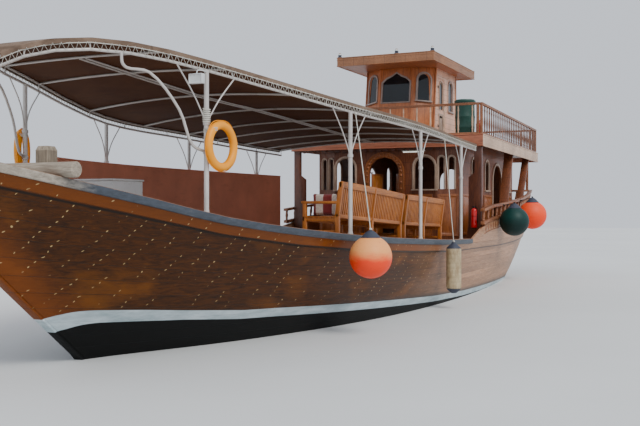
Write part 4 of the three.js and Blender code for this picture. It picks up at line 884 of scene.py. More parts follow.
def edge_at(x):
    """The edge point at x, and the crown's rise there; both are straight between the bends."""
    for a, b in zip(edge_points, edge_points[1:]):
        if x >= b.x:
            break
    share = min(max((x - a.x) / (b.x - a.x), 0), 1)
    rise = table_value(CROWN, a.x) * (1 - share) + table_value(CROWN, b.x) * share
    return a.lerp(b, share), rise


print(len(edge_points), "edge points; beam of the awning", round(2 * max(p.y for p in edge_points), 2))

# %% [markdown]
# The edge is a light truss: two tubes a hand apart with short struts, welded to posts that stand on the
# rail. Curved braces make each post a Y. Every tube is a curve with a round bevel, turned into a mesh.
# %% Awning frame
TUBE_SIDES = 5
LOW_TUBE, HIGH_TUBE, POST_TUBE, BRACE_TUBE, SWAN_TUBE = 0.022, 0.019, 0.037, 0.011, 0.021
BRACE_REACH, BRACE_DROP = 0.52, 0.76
RAIL_HEIGHT = 0.115
FOOT_COLLAR = ((0, 0.05), (0.012, 0.05), (0.016, 0.042), (0.05, 0.039))
SWAN_NECK = [Vector(p) for p in ((9.63, 1.195, 4.275), (9.625, 1.208, 4.13), (9.56, 1.232, 4.075),
                                 (9.228, 1.359, 4.05), (8.763, 1.534, 3.574), (8.551, 1.613, 3.092),
                                 (8.318, 1.7, 3.003))]


def smooth_line(points, steps):
    return [spline_point(points, i / steps) for i in range(steps + 1)]


def deck_at(x):
    return station(place_of_head(x))[0].z


def weld(at, radius):
    """A short sleeve where two tubes meet."""
    sleeve = turned([(-0.03, radius * 1.1), (-0.024, radius * 1.35), (0.024, radius * 1.35),
                     (0.03, radius * 1.1)], 10)
    return move_mesh(sleeve, at)


def brace_line(head, way):
    end = edge_at(head.x + way * BRACE_REACH)[0]
    low = head - Vector((0, 0, BRACE_DROP))
    bend = low.lerp(end, 0.55) + Vector((-way * 0.09, 0, -0.04))
    return smooth_line([low, bend, end], 8)


def frame_side(side, sign):
    low = [Vector((edge_points[0].x, 0.0003, edge_points[0].z)), *edge_points[1:]]
    high = [p + Vector((0, 0, BAND)) for p in low]
    pieces = [round_bar(low, LOW_TUBE, TUBE_SIDES), round_bar(high, HIGH_TUBE, TUBE_SIDES)]
    for a, b in list(zip(low, high))[1::2]:
        pieces.append(round_bar([a, b], 0.0095, 2))
    for head in POST_HEADS:
        top = edge_at(head.x)[0]
        foot = Vector((head.x, top.y, deck_at(head.x + 0.05) + RAIL_HEIGHT + 0.0003))
        pieces.append(round_bar([foot, top], POST_TUBE, TUBE_SIDES))
        pieces.append(move_mesh(turned(FOOT_COLLAR, 20), foot))
        pieces.append(weld(top - Vector((0, 0, BRACE_DROP)), POST_TUBE))
        pieces += [round_bar(brace_line(top, way), BRACE_TUBE, 3) for way in (-1, 1)]
    pieces.append(round_bar(smooth_line(SWAN_NECK, 24), SWAN_TUBE, TUBE_SIDES))
    pieces.append(weld(SWAN_NECK[-1], POST_TUBE))
    whole = together(pieces)
    whole = mirrored(whole) if sign < 0 else whole
    return settle(whole, "awning_tubes_" + side, "tube_paint", "awning_frame_" + side)


for side, sign in SIDES:
    print(side, "frame faces", len(frame_side(side, sign).data.polygons))

# %% [markdown]
# Cross bows arch over the deck from tube to tube, and two ridge tubes run along the middle just under
# them. The photograph shows the bows as pale lines against the dark canvas.
# %% Bows and ridges
BOW_PLACES = (5, 7, 9, 12, 14, 15, 16, 18, 18.97)
BOW_TUBE, RIDGE_TUBE, RIDGE_HALF, RIDGE_DROP = 0.019, 0.014, 0.055, 0.02
ARC_STEPS = 24


def crown_line(edge, half, lift, rise, steps=ARC_STEPS):
    sides = [1 - 2 * i / steps for i in range(steps + 1)]
    return [Vector((edge.x, half * side, edge.z + BAND + rise * (1 - side ** 2) + lift)) for side in sides]


def bow_line(place_at):
    first, second = edge_points[math.floor(place_at)], edge_points[math.ceil(place_at)]
    edge = first.lerp(second, place_at - math.floor(place_at))
    rise = edge_at(edge.x)[1]
    slope = abs(edge_at(edge.x - 0.1)[0].y - edge_at(edge.x + 0.1)[0].y) / 0.2
    pull = HIGH_TUBE * math.hypot(1, slope) + BOW_TUBE * slope - 0.0012
    return crown_line(edge, edge.y - pull, 0, rise)


bow_lines = [bow_line(place_at) for place_at in BOW_PLACES]
bows = [round_bar(line, BOW_TUBE, TUBE_SIDES) for line in bow_lines]
for side in (-1, 1):
    middles = [Vector((line[0].x, side * RIDGE_HALF, line[ARC_STEPS // 2].z - RIDGE_DROP))
               for line in bow_lines]
    bows.append(round_bar(middles, RIDGE_TUBE, 3))
settle(bows, "awning_bow_tubes", "tube_paint", "awning_bows")

# %% [markdown]
# The canvas is one cut of cloth stretched over the bows. Its rings follow the edge line and its crown,
# each ring is a row of points over the boat, and between two bows the cloth sags a few centimetres. A
# plane is the start: a grid with as many rows as rings, whose points are then laid on those lines.
# %% Canvas lines
CANVAS_OUT = 0.032
CANVAS_LIFT = 0.0205
CANVAS_THICK = 0.006
SKIRT = 0.04
SAG = 0.022
CANVAS_ROWS = 170
CANVAS_COLUMNS = 40


def offset_edge(reach):
    """The edge line moved outwards in plan by `reach`."""
    moved = []
    for i, p in enumerate(edge_points):
        before, after = edge_points[max(i - 1, 0)], edge_points[min(i + 1, len(edge_points) - 1)]
        along = Vector((after.x - before.x, after.y if i == 0 else after.y - before.y, 0)).normalized()
        moved.append(Vector((p.x + along.y * reach, p.y - along.x * reach, p.z)))
    moved[0] = Vector((edge_points[0].x + reach, CANVAS_OUT, edge_points[0].z))
    return moved


def sag_at(x):
    """How far the cloth hangs between the two bows beside x, and nothing forward of the first bow."""
    marks = [line[0].x for line in bow_lines]
    for fore, aft in zip(marks, marks[1:]):
        if aft < x < fore:
            share = (fore - x) / (fore - aft)
            return SAG * 4 * share * (1 - share) * min(1, (fore - aft) / 1.5)
    return 0.0


def canvas_points():
    """Rows of points from the nose aft; each row hangs down a skirt at both ends."""
    edge = offset_edge(CANVAS_OUT)
    rises = [table_value(CROWN, p.x) for p in edge_points]
    lengths = [0.0]
    for a, b in zip(edge, edge[1:]):
        lengths.append(lengths[-1] + (b - a).length)
    rows = []
    for row in range(CANVAS_ROWS):
        at = lengths[-1] * (row / (CANVAS_ROWS - 1)) ** 1.15
        index = max(i for i, length in enumerate(lengths[:-1]) if length <= at)
        share = (at - lengths[index]) / (lengths[index + 1] - lengths[index])
        p = edge[index].lerp(edge[index + 1], share)
        rise = rises[index] + (rises[index + 1] - rises[index]) * share
        top = crown_line(p, p.y, CANVAS_LIFT, rise, CANVAS_COLUMNS)
        for i, q in enumerate(top):
            side = abs(1 - 2 * i / CANVAS_COLUMNS)
            q.z -= sag_at(q.x) * (1 - side ** 6)
        hem = [Vector((q.x, q.y, p.z + BAND - SKIRT)) for q in (top[0], top[-1])]
        rows.append([hem[0], top[0].lerp(hem[0], 0.5), *top, top[-1].lerp(hem[1], 0.5), hem[1]])
    return rows

# %% [markdown]
# The points are laid, the faces are turned up while the cloth is still one layer, and then it gets its
# thickness.
# %% Canvas cover
canvas_rows = canvas_points()
row_length = len(canvas_rows[0])
clear_selection()
bpy.ops.mesh.primitive_grid_add(x_subdivisions=row_length - 1, y_subdivisions=CANVAS_ROWS - 1, size=2)
canvas = bpy.context.object
for i, vertex in enumerate(canvas.data.vertices):
    vertex.co = canvas_rows[i // row_length][i % row_length]
make_active(canvas)
edit_all()
close_outward()
if sum(face.normal.z for face in canvas.data.polygons) < 0:
    canvas.data.flip_normals()
apply_modifier(canvas, "SOLIDIFY", thickness=CANVAS_THICK, offset=1.0, use_even_offset=True)
settle(canvas, "awning_cover", "canvas_top", "awning_canvas", smooth=60)
under = second_finish(canvas, "canvas_under", lambda f: f.normal.z < -0.2)

# %% [markdown]
# White cord laces the canvas to the lower tube in a zigzag, and a bolt rope runs along the hem. The
# zigzag is one tight line of points from the hem down to the tube's outer face and back.
# %% Lacing
LACE_PITCH = 0.11
LACE_RADIUS = 0.005


def along_edge(reach, pitch):
    """Points every `pitch` metres along the moved edge line."""
    line = offset_edge(reach)
    points, left = [], 0.0
    for a, b in zip(line, line[1:]):
        length = (b - a).length
        at = left
        while at < length:
            points.append(a.lerp(b, at / length))
            at += pitch
        left = at - length
    return points


def laces(side, sign):
    hem_line = along_edge(CANVAS_OUT + CANVAS_THICK + 0.003, LACE_PITCH / 2)
    tube_line = along_edge(LOW_TUBE + LACE_RADIUS, LACE_PITCH / 2)
    line = []
    for i, (hem_point, tube_point) in enumerate(zip(hem_line, tube_line)):
        p, lift = (hem_point, BAND - SKIRT + 0.012) if i % 2 else (tube_point, -0.012)
        line.append(Vector((p.x, sign * p.y, p.z + lift)))
    zigzag = round_bar(line, LACE_RADIUS, 1)
    hem = [Vector((p.x, sign * p.y, p.z + BAND - SKIRT)) for p in along_edge(CANVAS_OUT + 0.004, 0.3)]
    return settle([zigzag, round_bar(hem, 0.006, 2)], "awning_lacing_" + side, "rope")


for side, sign in SIDES:
    print(side, "lacing faces", len(laces(side, sign).data.polygons))

# %% [markdown]
# Arched windows are all over the deckhouse and wheelhouse. A frame starts as a circle: its lower half is
# cut away, the arc is widened by extruding and scaling, the jambs are pulled down to the sill, and the
# flat band is then given its depth. It stands in the YZ plane, facing the bow, until it is placed.
# %% Arched frames and panes
ARC_SIDES = 24


def select_points(made, wanted):
    """Goes to edit mode with just the points that `wanted` picks by their place."""
    bpy.ops.object.mode_set(mode="EDIT")
    bpy.ops.mesh.select_mode(type="VERT")
    bpy.ops.mesh.select_all(action="DESELECT")
    leave_edit()
    for vertex in made.data.vertices:
        vertex.select = wanted(vertex.co)
    bpy.ops.object.mode_set(mode="EDIT")


def half_circle(radius, height):
    clear_selection()
    bpy.ops.mesh.primitive_circle_add(vertices=ARC_SIDES, radius=radius, location=(0, 0, height),
                                      rotation=(0, math.radians(90), 0))
    made = bpy.context.object
    apply_all()
    select_points(made, lambda co: co.z < height - 0.001)
    bpy.ops.mesh.delete(type="VERT")
    return made


def pulled_down(made, sill, spring, deep):
    """Pulls the ends of an arch down to the sill and gives the flat shape its depth."""
    select_points(made, lambda co: abs(co.z - spring) < 0.002)
    bpy.ops.mesh.extrude_edges_move(TRANSFORM_OT_translate={"value": (0, 0, sill - spring)})
    bpy.ops.mesh.select_all(action="SELECT")
    pull(deep, 0, 0)
    close_outward()
    return made


def arched_frame(half, sill, crown, wide, deep, edge=0.006):
    spring = crown - half
    made = half_circle(half, spring)
    bpy.ops.mesh.select_all(action="SELECT")
    grow = (half + wide) / half
    bpy.ops.mesh.extrude_edges_move()
    bpy.ops.transform.resize(value=(1, grow, grow), center_override=(0, 0, spring))
    return eased(pulled_down(made, sill, spring, deep), edge)

# %% [markdown]
# A pane is the same half circle, filled and pulled down to the sill. `window` puts trims, a sill and a
# pane together and turns them to face out of their wall.
# %% Panes and whole windows
def arched_pane(half, sill, crown, deep=0.006):
    spring = crown - half
    made = half_circle(half, spring)
    bpy.ops.mesh.select_all(action="SELECT")
    bpy.ops.mesh.edge_face_add()
    return pulled_down(made, sill, spring, deep)


def facing(piece, at, degrees):
    """Turns a piece that faces the bow about Z and moves it to its place."""
    piece.data.transform(Matrix.Translation(at) @ turn_by(degrees, "Z"))
    return piece


def window(at, degrees, half, sill, crown, wall, trims, wide, sill_board=True, panes=None):
    """Outer trim, a slimmer inner trim, a sill and, where glazed, a pane for one arched window."""
    turn = turn_by(degrees, "Z")
    trims.append(facing(arched_frame(half, sill, crown, wide, 0.02), at, degrees))
    trims.append(facing(arched_frame(half - 0.022, sill, crown - 0.022, 0.021, 0.016, 0.004),
                        at + turn @ Vector((-0.02, 0, 0)), degrees))
    if sill_board:
        ledge = board((-0.01, -half - wide - 0.02, sill - 0.04), (0.05, half + wide + 0.02, sill), 0.006)
        trims.append(facing(ledge, at, degrees))
    if panes is not None:
        panes.append(facing(arched_pane(half + 0.004, sill - 0.004, crown + 0.004),
                            at + turn @ Vector((-wall / 2, 0, 0)), degrees))

# %% [markdown]
# The deckhouse stands behind the awning: brown boards with canted wings at the front, slim arched
# windows and open side doorways. The solid's walls stay, with their corners eased, and pale double
# trims, sills and panels are added to them. The windows are open; the photograph shows no glass in them.
# %% Deckhouse
HOUSE_FRONT, HOUSE_WING_X, HOUSE_WING_Y, HOUSE_HALF, HOUSE_AFT = -3.4, -3.64, 1.45, 2.05, -9.7
HOUSE_WALL = 0.06
WINDOW_SILL, WINDOW_CROWN = 2.69, 3.56
PROUD = 0.0006  # what is laid on a wall keeps this gap
FRONT_WINDOW_Y, FRONT_WINDOW_HALF = 1.14, 0.29
WING_WINDOWS = ((1.59, 0.075), (1.835, 0.08))
SIDE_WINDOW_X, SIDE_WINDOW_HALF = (-4.975, -6.44, -9.15), 0.215
SIDE_DOOR_X, SIDE_DOOR_HALF, SIDE_DOOR_SILL, SIDE_DOOR_CROWN = -7.64, 0.52, 1.42, 3.48
FRONT_DOOR_HALF, FRONT_DOOR_CROWN = 0.43, 3.56
AFT_DOOR_HALF, AFT_DOOR_SILL, AFT_DOOR_CROWN = 0.38, 1.48, 3.48
BLOCK_TOP = 1.43

dressed("deckhouse", "deckhouse_walls", "house_wood", 0.008)
trims = []
wing_slope = math.degrees(math.atan2(HOUSE_FRONT - HOUSE_WING_X, HOUSE_HALF - HOUSE_WING_Y))
for sign in (1, -1):
    window(Vector((HOUSE_FRONT + PROUD, sign * FRONT_WINDOW_Y, 0)), 0, FRONT_WINDOW_HALF, WINDOW_SILL,
           WINDOW_CROWN, HOUSE_WALL, trims, 0.055)
    for y, slim in WING_WINDOWS:
        x = HOUSE_FRONT - (y - HOUSE_WING_Y) / (HOUSE_HALF - HOUSE_WING_Y) * (HOUSE_FRONT - HOUSE_WING_X)
        window(Vector((x + 0.004, sign * y, 0)), sign * wing_slope,
               slim / math.cos(math.radians(wing_slope)),
               WINDOW_SILL, WINDOW_CROWN, HOUSE_WALL, trims, 0.032, False)
    for x in SIDE_WINDOW_X:
        window(Vector((x, sign * (HOUSE_HALF + PROUD), 0)), sign * 90, SIDE_WINDOW_HALF, WINDOW_SILL + 0.01,
               WINDOW_CROWN, HOUSE_WALL, trims, 0.05)
    trims.append(facing(arched_frame(SIDE_DOOR_HALF, SIDE_DOOR_SILL, SIDE_DOOR_CROWN, 0.07, 0.025),
                        Vector((SIDE_DOOR_X, sign * (HOUSE_HALF + PROUD), 0)), sign * 90))
trims.append(facing(arched_frame(AFT_DOOR_HALF, AFT_DOOR_SILL, AFT_DOOR_CROWN, 0.07, 0.025),
                    Vector((HOUSE_AFT - PROUD, 0, 0)), 180))
settle(trims, "house_window_trims", "pale_trim")
print("house trims", len(trims))

# %% [markdown]
# Below the windows the walls carry framed panels, and the front doorway has a surround with a row of
# small carved bosses. The panels are boards whose faces are inset and pushed back, one per bay.
# %% Panels and carved surround
PANEL_TOP = 2.56
PANEL_EDGE = 0.055
PANEL_DEPTH = 0.012


def panel(wide, low, high, thick=0.02):
    """A framed panel that faces the bow, centred on y = 0."""
    made = board((0, -wide / 2, low), (thick, wide / 2, high), 0)
    make_active(made)
    select_points(made, lambda co: co.x > thick - 0.001)
    bpy.ops.mesh.select_mode(type="FACE")
    bpy.ops.mesh.inset(thickness=PANEL_EDGE, depth=0)
    bpy.ops.mesh.inset(thickness=0.012, depth=-PANEL_DEPTH)
    bpy.ops.mesh.inset(thickness=0.05, depth=0)
    bpy.ops.mesh.inset(thickness=0.02, depth=0.008)
    bpy.ops.mesh.select_mode(type="VERT")
    leave_edit()
    return eased(made, 0.003, 1)


panels = []
for sign in (1, -1):
    low = deck_at(HOUSE_FRONT) + 0.12
    panels.append(facing(panel(0.72, low, PANEL_TOP), Vector((HOUSE_FRONT + PROUD, sign * 1.0, 0)), 0))
    middle = Vector(((HOUSE_FRONT + HOUSE_WING_X) / 2, sign * (HOUSE_HALF + HOUSE_WING_Y) / 2, 0))
    panels.append(facing(panel(0.56, low, PANEL_TOP), middle + Vector((0.004, 0, 0)), sign * wing_slope))
    for x, wide in ((-4.26, 0.9), (-5.4, 1.0), (-6.5, 0.9), (-8.65, 0.75), (-9.3, 0.45)):
        foot = deck_at(x - 0.5) + 0.14
        panels.append(facing(panel(wide, foot, PANEL_TOP), Vector((x, sign * (HOUSE_HALF + PROUD), 0)),
                             sign * 90))
for sign in (1, -1):
    panels.append(facing(panel(1.1, 1.72, 3.3), Vector((HOUSE_AFT - PROUD, sign * 1.2, 0)), 180))
settle(panels, "house_panels", "door_wood")

LEAVES_ON_ARCH, LEAVES_ON_JAMB = 15, 9
BAND_MIDDLE = FRONT_DOOR_HALF + 0.06
surround = [arched_frame(FRONT_DOOR_HALF, BLOCK_TOP, FRONT_DOOR_CROWN, 0.12, 0.03),
            arched_frame(FRONT_DOOR_HALF + 0.12, BLOCK_TOP, FRONT_DOOR_CROWN + 0.12, 0.03, 0.045)]


def rosette():
    return tipped(turned([(0, 0.016), (0.012, 0.034), (0.02, 0.03), (0.03, 0.012)], 8), 90)


for i in range(LEAVES_ON_ARCH):
    angle = math.pi * (i + 0.5) / LEAVES_ON_ARCH
    height = FRONT_DOOR_CROWN - FRONT_DOOR_HALF + BAND_MIDDLE * math.sin(angle)
    surround.append(move_mesh(rosette(), (0.026, BAND_MIDDLE * math.cos(angle), height)))
for sign in (1, -1):
    for i in range(LEAVES_ON_JAMB):
        surround.append(move_mesh(rosette(), (0.026, sign * BAND_MIDDLE, 1.62 + 0.18 * i)))
settle(move_mesh(together(surround), (HOUSE_FRONT + PROUD, 0, 0)), "front_door_surround", "door_wood")

# %% [markdown]
# The two front door leaves turn on pins. Each leaf keeps its solid's board and pins, and gets three
# framed panels on each face, every one with a raised boss in the middle.
# %% Front door leaves
LEAF_LONG, LEAF_THICK, LEAF_OPEN = 0.385, 0.04, 60
LEAF_BACK, LEAF_Y, LEAF_PROUD = 0.095, 0.4, 0.0004
LEAF_PANELS = ((1.5, 1.95), (2.0, 2.5), (2.55, 3.06))


def leaf_panels(sign):
    pieces = []
    for low, high in LEAF_PANELS:
        for turn, way in ((0, 1), (180, -1)):
            shift = Vector((way * (LEAF_THICK / 2 + LEAF_PROUD), -LEAF_LONG / 2, 0))
            pieces.append(move_mesh(tipped(panel(LEAF_LONG - 0.06, low, high, 0.008), turn, "Z"), shift))
            boss = tipped(turned([(0, 0.07), (0.004, 0.062), (0.010, 0.05), (0.014, 0.02)], 8), way * 90)
            boss.data.transform(Matrix.Scale(1.6, 4, (0, 0, 1)))
            pieces.append(move_mesh(boss, shift + Vector((way * 0.002, 0, (low + high) / 2))))
    whole = together(pieces)
    whole.data.transform(Matrix.Translation((HOUSE_FRONT - LEAF_BACK, LEAF_Y, 0)) @ turn_by(-LEAF_OPEN, "Z"))
    return mirrored(whole) if sign < 0 else whole


for side, sign in SIDES:
    leaf_body = "front_leaf_" + side
    dressed("front_door_" + side, "front_leaf_board_" + side, "door_wood", 0.004, leaf_body)
    settle(leaf_panels(sign), "front_leaf_carving_" + side, "teak_upright", body=leaf_body)

# %% [markdown]
# Boards carry the upper deck: a notched pillar at each front corner, raked posts along the quarters. The
# deck's edge is a deep fascia, brown at the front; its sides are a much paler copy of the same boards, a
# painted highlight of the light on them. A moulding runs above and below it, and a scalloped dark trim
# hangs from it.
# %% Pillars, posts and upper deck
for side in ("port", "starboard"):
    dressed("pillar_" + side, "deck_pillar_" + side, "dark_wood", 0.012)
    dressed("quarter_post_" + side, "raked_post_" + side, "house_wood", 0.012)
    dressed("corner_post_" + side, "stern_post_" + side, "house_wood", 0.012)

UPPER_FRONT, UPPER_BOW, UPPER_FRONT_HALF, UPPER_AFT, UPPER_AFT_HALF = -3.285, 0.09, 2.75, -12.315, 2.36
FASCIA_BOTTOM, UPPER_DECK_Z = 3.78, 4.105
upper_deck = dressed("upper_deck", "upper_deck_boards", "deck_planks", 0.01)
second_finish(upper_deck, "fascia_front", lambda f: abs(f.normal.z) < 0.6 and f.normal.x > 0.4)
# Painted highlight: the fascia's side faces take a much paler copy of the front's boards.
second_finish(upper_deck, "lit_fascia_side", lambda f: abs(f.normal.z) < 0.6 and f.normal.x <= 0.4)
second_finish(upper_deck, "dark_wood", lambda f: f.normal.z < -0.6)

front_edge = [(UPPER_FRONT, UPPER_FRONT_HALF), (UPPER_FRONT + UPPER_BOW, UPPER_FRONT_HALF / 2),
              (UPPER_FRONT + UPPER_BOW * 1.3, 0), (UPPER_FRONT + UPPER_BOW, -UPPER_FRONT_HALF / 2),
              (UPPER_FRONT, -UPPER_FRONT_HALF)]
side_edges = [[(UPPER_FRONT, sign * UPPER_FRONT_HALF), (UPPER_AFT, sign * UPPER_AFT_HALF)]
              for sign in (1, -1)]
aft_edge = [(UPPER_AFT, UPPER_AFT_HALF), (UPPER_AFT, -UPPER_AFT_HALF)]


def moulding(edge, z, radius):
    return round_bar([Vector((x, y, z)) for x, y in edge], radius, 3)


front_trim = together([moulding(front_edge, FASCIA_BOTTOM + 0.016, 0.016),
                       moulding(front_edge, 4.085, 0.014)])
settle(front_trim, "fascia_moulding_front", "fascia_front", smooth=60)
# The side mouldings take the same paler boards as the fascia's sides, with the same painted highlight.
side_trim = together([moulding(edge, z, radius) for edge in (*side_edges, aft_edge)
                      for z, radius in ((FASCIA_BOTTOM + 0.016, 0.016), (4.085, 0.014))])
settle(side_trim, "fascia_moulding_sides", "lit_fascia_side", smooth=60)

SCALLOPS = 26
scallops = []
for i in range(SCALLOPS):
    share = (i + 0.5) / SCALLOPS
    y = UPPER_FRONT_HALF * (1 - 2 * share) * 0.97
    x = UPPER_FRONT + UPPER_BOW * 1.3 * (1 - abs(y) / UPPER_FRONT_HALF) - 0.06
    drop = arched_pane(0.092, 0.0, 0.13, 0.018)
    drop.data.transform(Matrix.Translation((x, y, FASCIA_BOTTOM + 0.065)) @ Matrix.Scale(-1, 4, (0, 0, 1)))
    drop.data.flip_normals()
    scallops.append(drop)
settle(scallops, "fascia_scallops", "dark_wood")
print("scallops", SCALLOPS)

# %% [markdown]
# The upper deck is fenced by turned spindles between a foot rail and a cap. One spindle is turned from a
# disc, pulled up and widened step by step. It is copied along each side, so its rings are kept few.
# %% Turned spindles
RAIL_INSET, RAIL_TOP, CAP_THICK, FOOT_THICK = 0.07, 0.815, 0.06, 0.045
SPINDLE_SIDES = 8
SPINDLE = ((0.035, 0.018), (0.11, 0.018), (0.13, 0.025), (0.15, 0.016), (0.2, 0.020), (0.32, 0.0265),
           (0.42, 0.021), (0.52, 0.0155), (0.6, 0.018), (0.64, 0.025), (0.66, 0.018), (0.765, 0.018))
END_POST = 0.07


def balustrade(name, start, end, count, spindle_finish, stands_for):
    start, end = Vector((*start, 0)), Vector((*end, 0))
    length = (end - start).length
    one = turned(SPINDLE, SPINDLE_SIDES)
    move_mesh(one, (length * 0.5 / count, 0, 0))
    spindles = row_of(one, count, (length / count, 0, 0))
    rails = [board((0, -0.03, 0.0004), (length, 0.03, FOOT_THICK), 0.006),
             board((0, -0.036, RAIL_TOP - CAP_THICK), (length, 0.036, RAIL_TOP - 0.02), 0.006),
             board((-0.002, -0.042, RAIL_TOP - 0.024), (length + 0.002, 0.042, RAIL_TOP), 0.01)]
    for x in (0.045, length - 0.045):
        rails.append(board((x - END_POST / 2, -END_POST / 2, FOOT_THICK - 0.01),
                           (x + END_POST / 2, END_POST / 2, RAIL_TOP - CAP_THICK + 0.01), 0.008))
    turn = math.atan2(end.y - start.y, end.x - start.x)
    move = Matrix.Translation(start + Vector((0, 0, UPPER_DECK_Z))) @ Matrix.Rotation(turn, 4, "Z")
    rail = together(rails)
    rail.data.transform(move)
    spindles.data.transform(move)
    settle(rail, name + "_bars", "quarter_wood", stands_for, smooth=35)
    return settle(spindles, name + "_spindles", spindle_finish, stands_for, smooth=50)


rail_fore = (UPPER_FRONT - RAIL_INSET, UPPER_FRONT_HALF - RAIL_INSET)
rail_aft = (UPPER_AFT + RAIL_INSET, UPPER_AFT_HALF - RAIL_INSET)
CORNER_GAP = 0.042
SIDE_SPINDLES, END_SPINDLES = 30, 14
finishes["pale_spindle"] = wood("pale_spindle", (168, 138, 116), (214, 188, 166), "z", 0.5, 0.15, 0.15)
for side, sign in SIDES:
    balustrade("side_rail_" + side, (rail_fore[0], sign * rail_fore[1]), (rail_aft[0], sign * rail_aft[1]),
               SIDE_SPINDLES, "spindle_wood", "upper_rail_" + side)
for name, (x, y), finish in (("front", rail_fore, "pale_spindle"), ("aft", rail_aft, "spindle_wood")):
    made = balustrade("cross_rail_" + name, (x, y - CORNER_GAP), (x, CORNER_GAP - y), END_SPINDLES, finish,
                      "upper_rail_" + name)
print("faces in one cross rail", len(made.data.polygons))

# %% [markdown]
# The wheelhouse has a raked front of three walls. The photograph shows orange-brown boards in front with
# an ogee window. The sides are a much paler copy of the same boards, a painted highlight where the light
# falls on them. Corner bars, window trims, hinged doors and panes go on it.
# %% Wheelhouse walls
CABIN_NOSE, CABIN_NOSE_HALF, CABIN_CORNER, CABIN_HALF, CABIN_AFT = -4.125, 0.475, -4.5, 1.029, -6.7
CABIN_RAKE, CABIN_TOP, CABIN_WALL = 0.284, 6.11, 0.045
RAKE_ANGLE = math.degrees(math.atan2(CABIN_RAKE, CABIN_TOP - UPPER_DECK_Z))

walls = dressed("wheelhouse", "wheelhouse_walls", "cabin_wood", 0.006)
# Painted highlight: the side walls take a much paler copy of the front boards.
side_faces = second_finish(walls, "lit_cabin_side", lambda f: abs(f.normal.y) > 0.9 and abs(f.center.y) > 1.0)
print("bleached faces", side_faces)


def cabin_back(z):
    """How far the raked front has leaned back at height z."""
    return CABIN_RAKE * (z - UPPER_DECK_Z) / (CABIN_TOP - UPPER_DECK_Z)


def corner_line(x, y, out=0.006):
    z_low, z_high = UPPER_DECK_Z + 0.01, CABIN_TOP - 0.01
    lean = 1 if x > CABIN_AFT else 0
    return [Vector((x + out - lean * cabin_back(z), y, z)) for z in (z_low, z_high)]


corners = []
for sign in (1, -1):
    corners.append(round_bar(corner_line(CABIN_NOSE, sign * CABIN_NOSE_HALF), 0.02, 2))
    corners.append(round_bar(corner_line(CABIN_CORNER, sign * CABIN_HALF), 0.024, 2))
    corners.append(round_bar(corner_line(CABIN_AFT, sign * CABIN_HALF, 0), 0.024, 2))
settle(corners, "wheelhouse_corner_posts", "cabin_wood", smooth=50)

# %% [markdown]
# The ogee trim follows the window's outline with a bar that is pressed flat. Its points rise from sill to
# shoulder, curve in and meet in a low tip.
# %% Wheelhouse windows
NOSE_SILL = 5.15
NOSE_WINDOW = ((-0.4, NOSE_SILL), (0.4, NOSE_SILL), (0.4, 5.71), (0.28, 5.82), (0.14, 5.88), (0.0, 5.975),
               (-0.14, 5.88), (-0.28, 5.82), (-0.4, 5.71))
CHEEK_HALF, CHEEK_SILL, CHEEK_CROWN, CHEEK_Z = 0.185, 5.17, 5.95, 5.3
CABIN_WINDOW_X, CABIN_WINDOW_HALF, CABIN_WINDOW_SILL, CABIN_WINDOW_CROWN = -6.13, 0.2, 5.0, 5.86
AFT_WINDOW_HALF = 0.38


def outline_bar(points, radius, out):
    line = [Vector((CABIN_NOSE - cabin_back(z) + out, y, z)) for y, z in points]
    return round_bar(line, radius, 2, cyclic=True)


def ogee_pane(points, inset):
    """A pane cut to the ogee outline: its corners are laid on a disc of as many points."""
    clear_selection()
    bpy.ops.mesh.primitive_circle_add(vertices=len(points), radius=1, fill_type="NGON")
    made = bpy.context.object
    for vertex, (y, z) in zip(made.data.vertices, points):
        vertex.co = (CABIN_NOSE - cabin_back(z) - inset, y, z)
    edit_all()
    pull(-0.006, 0, 0)
    close_outward()
    return made


outer = [(y * 1.06, NOSE_SILL + (z - NOSE_SILL) * 1.02 - (0.02 if z == NOSE_SILL else 0))
         for y, z in NOSE_WINDOW]
cabin_trims = [outline_bar(outer, 0.02, 0.004), outline_bar(NOSE_WINDOW, 0.012, -0.006)]
cabin_panes = [ogee_pane(NOSE_WINDOW, CABIN_WALL / 2)]
cheek_turn = math.degrees(math.atan2(CABIN_NOSE - CABIN_CORNER, CABIN_HALF - CABIN_NOSE_HALF))
lean = turn_by(-RAKE_ANGLE, "Y")
for sign in (1, -1):
    own_trims, own_panes = [], []
    window(Vector((0.004, 0, 0)), 0, CHEEK_HALF, CHEEK_SILL - CHEEK_Z, CHEEK_CROWN - CHEEK_Z, CABIN_WALL,
           own_trims, 0.045, panes=own_panes)
    middle = Vector(((CABIN_NOSE + CABIN_CORNER) / 2 - cabin_back(CHEEK_Z),
                     sign * (CABIN_NOSE_HALF + CABIN_HALF) / 2, CHEEK_Z))
    whole = Matrix.Translation(middle) @ lean @ turn_by(sign * cheek_turn, "Z")
    for made in own_trims + own_panes:
        made.data.transform(whole)
    cabin_trims += own_trims
    cabin_panes += own_panes
    window(Vector((CABIN_WINDOW_X, sign * (CABIN_HALF + PROUD), 0)), sign * 90, CABIN_WINDOW_HALF,
           CABIN_WINDOW_SILL, CABIN_WINDOW_CROWN, CABIN_WALL, cabin_trims, 0.045, panes=cabin_panes)
window(Vector((CABIN_AFT - PROUD, 0, 0)), 180, AFT_WINDOW_HALF, CABIN_WINDOW_SILL, CABIN_WINDOW_CROWN,
       CABIN_WALL, cabin_trims, 0.05, panes=cabin_panes)
finishes["grey_trim"] = wood("grey_trim", (132, 118, 112), (176, 164, 158), "z", 0.5, 0.2, 0.15)
settle(cabin_trims, "wheelhouse_window_trims", "grey_trim")
settle(cabin_panes, "wheelhouse_panes", "window_glass")

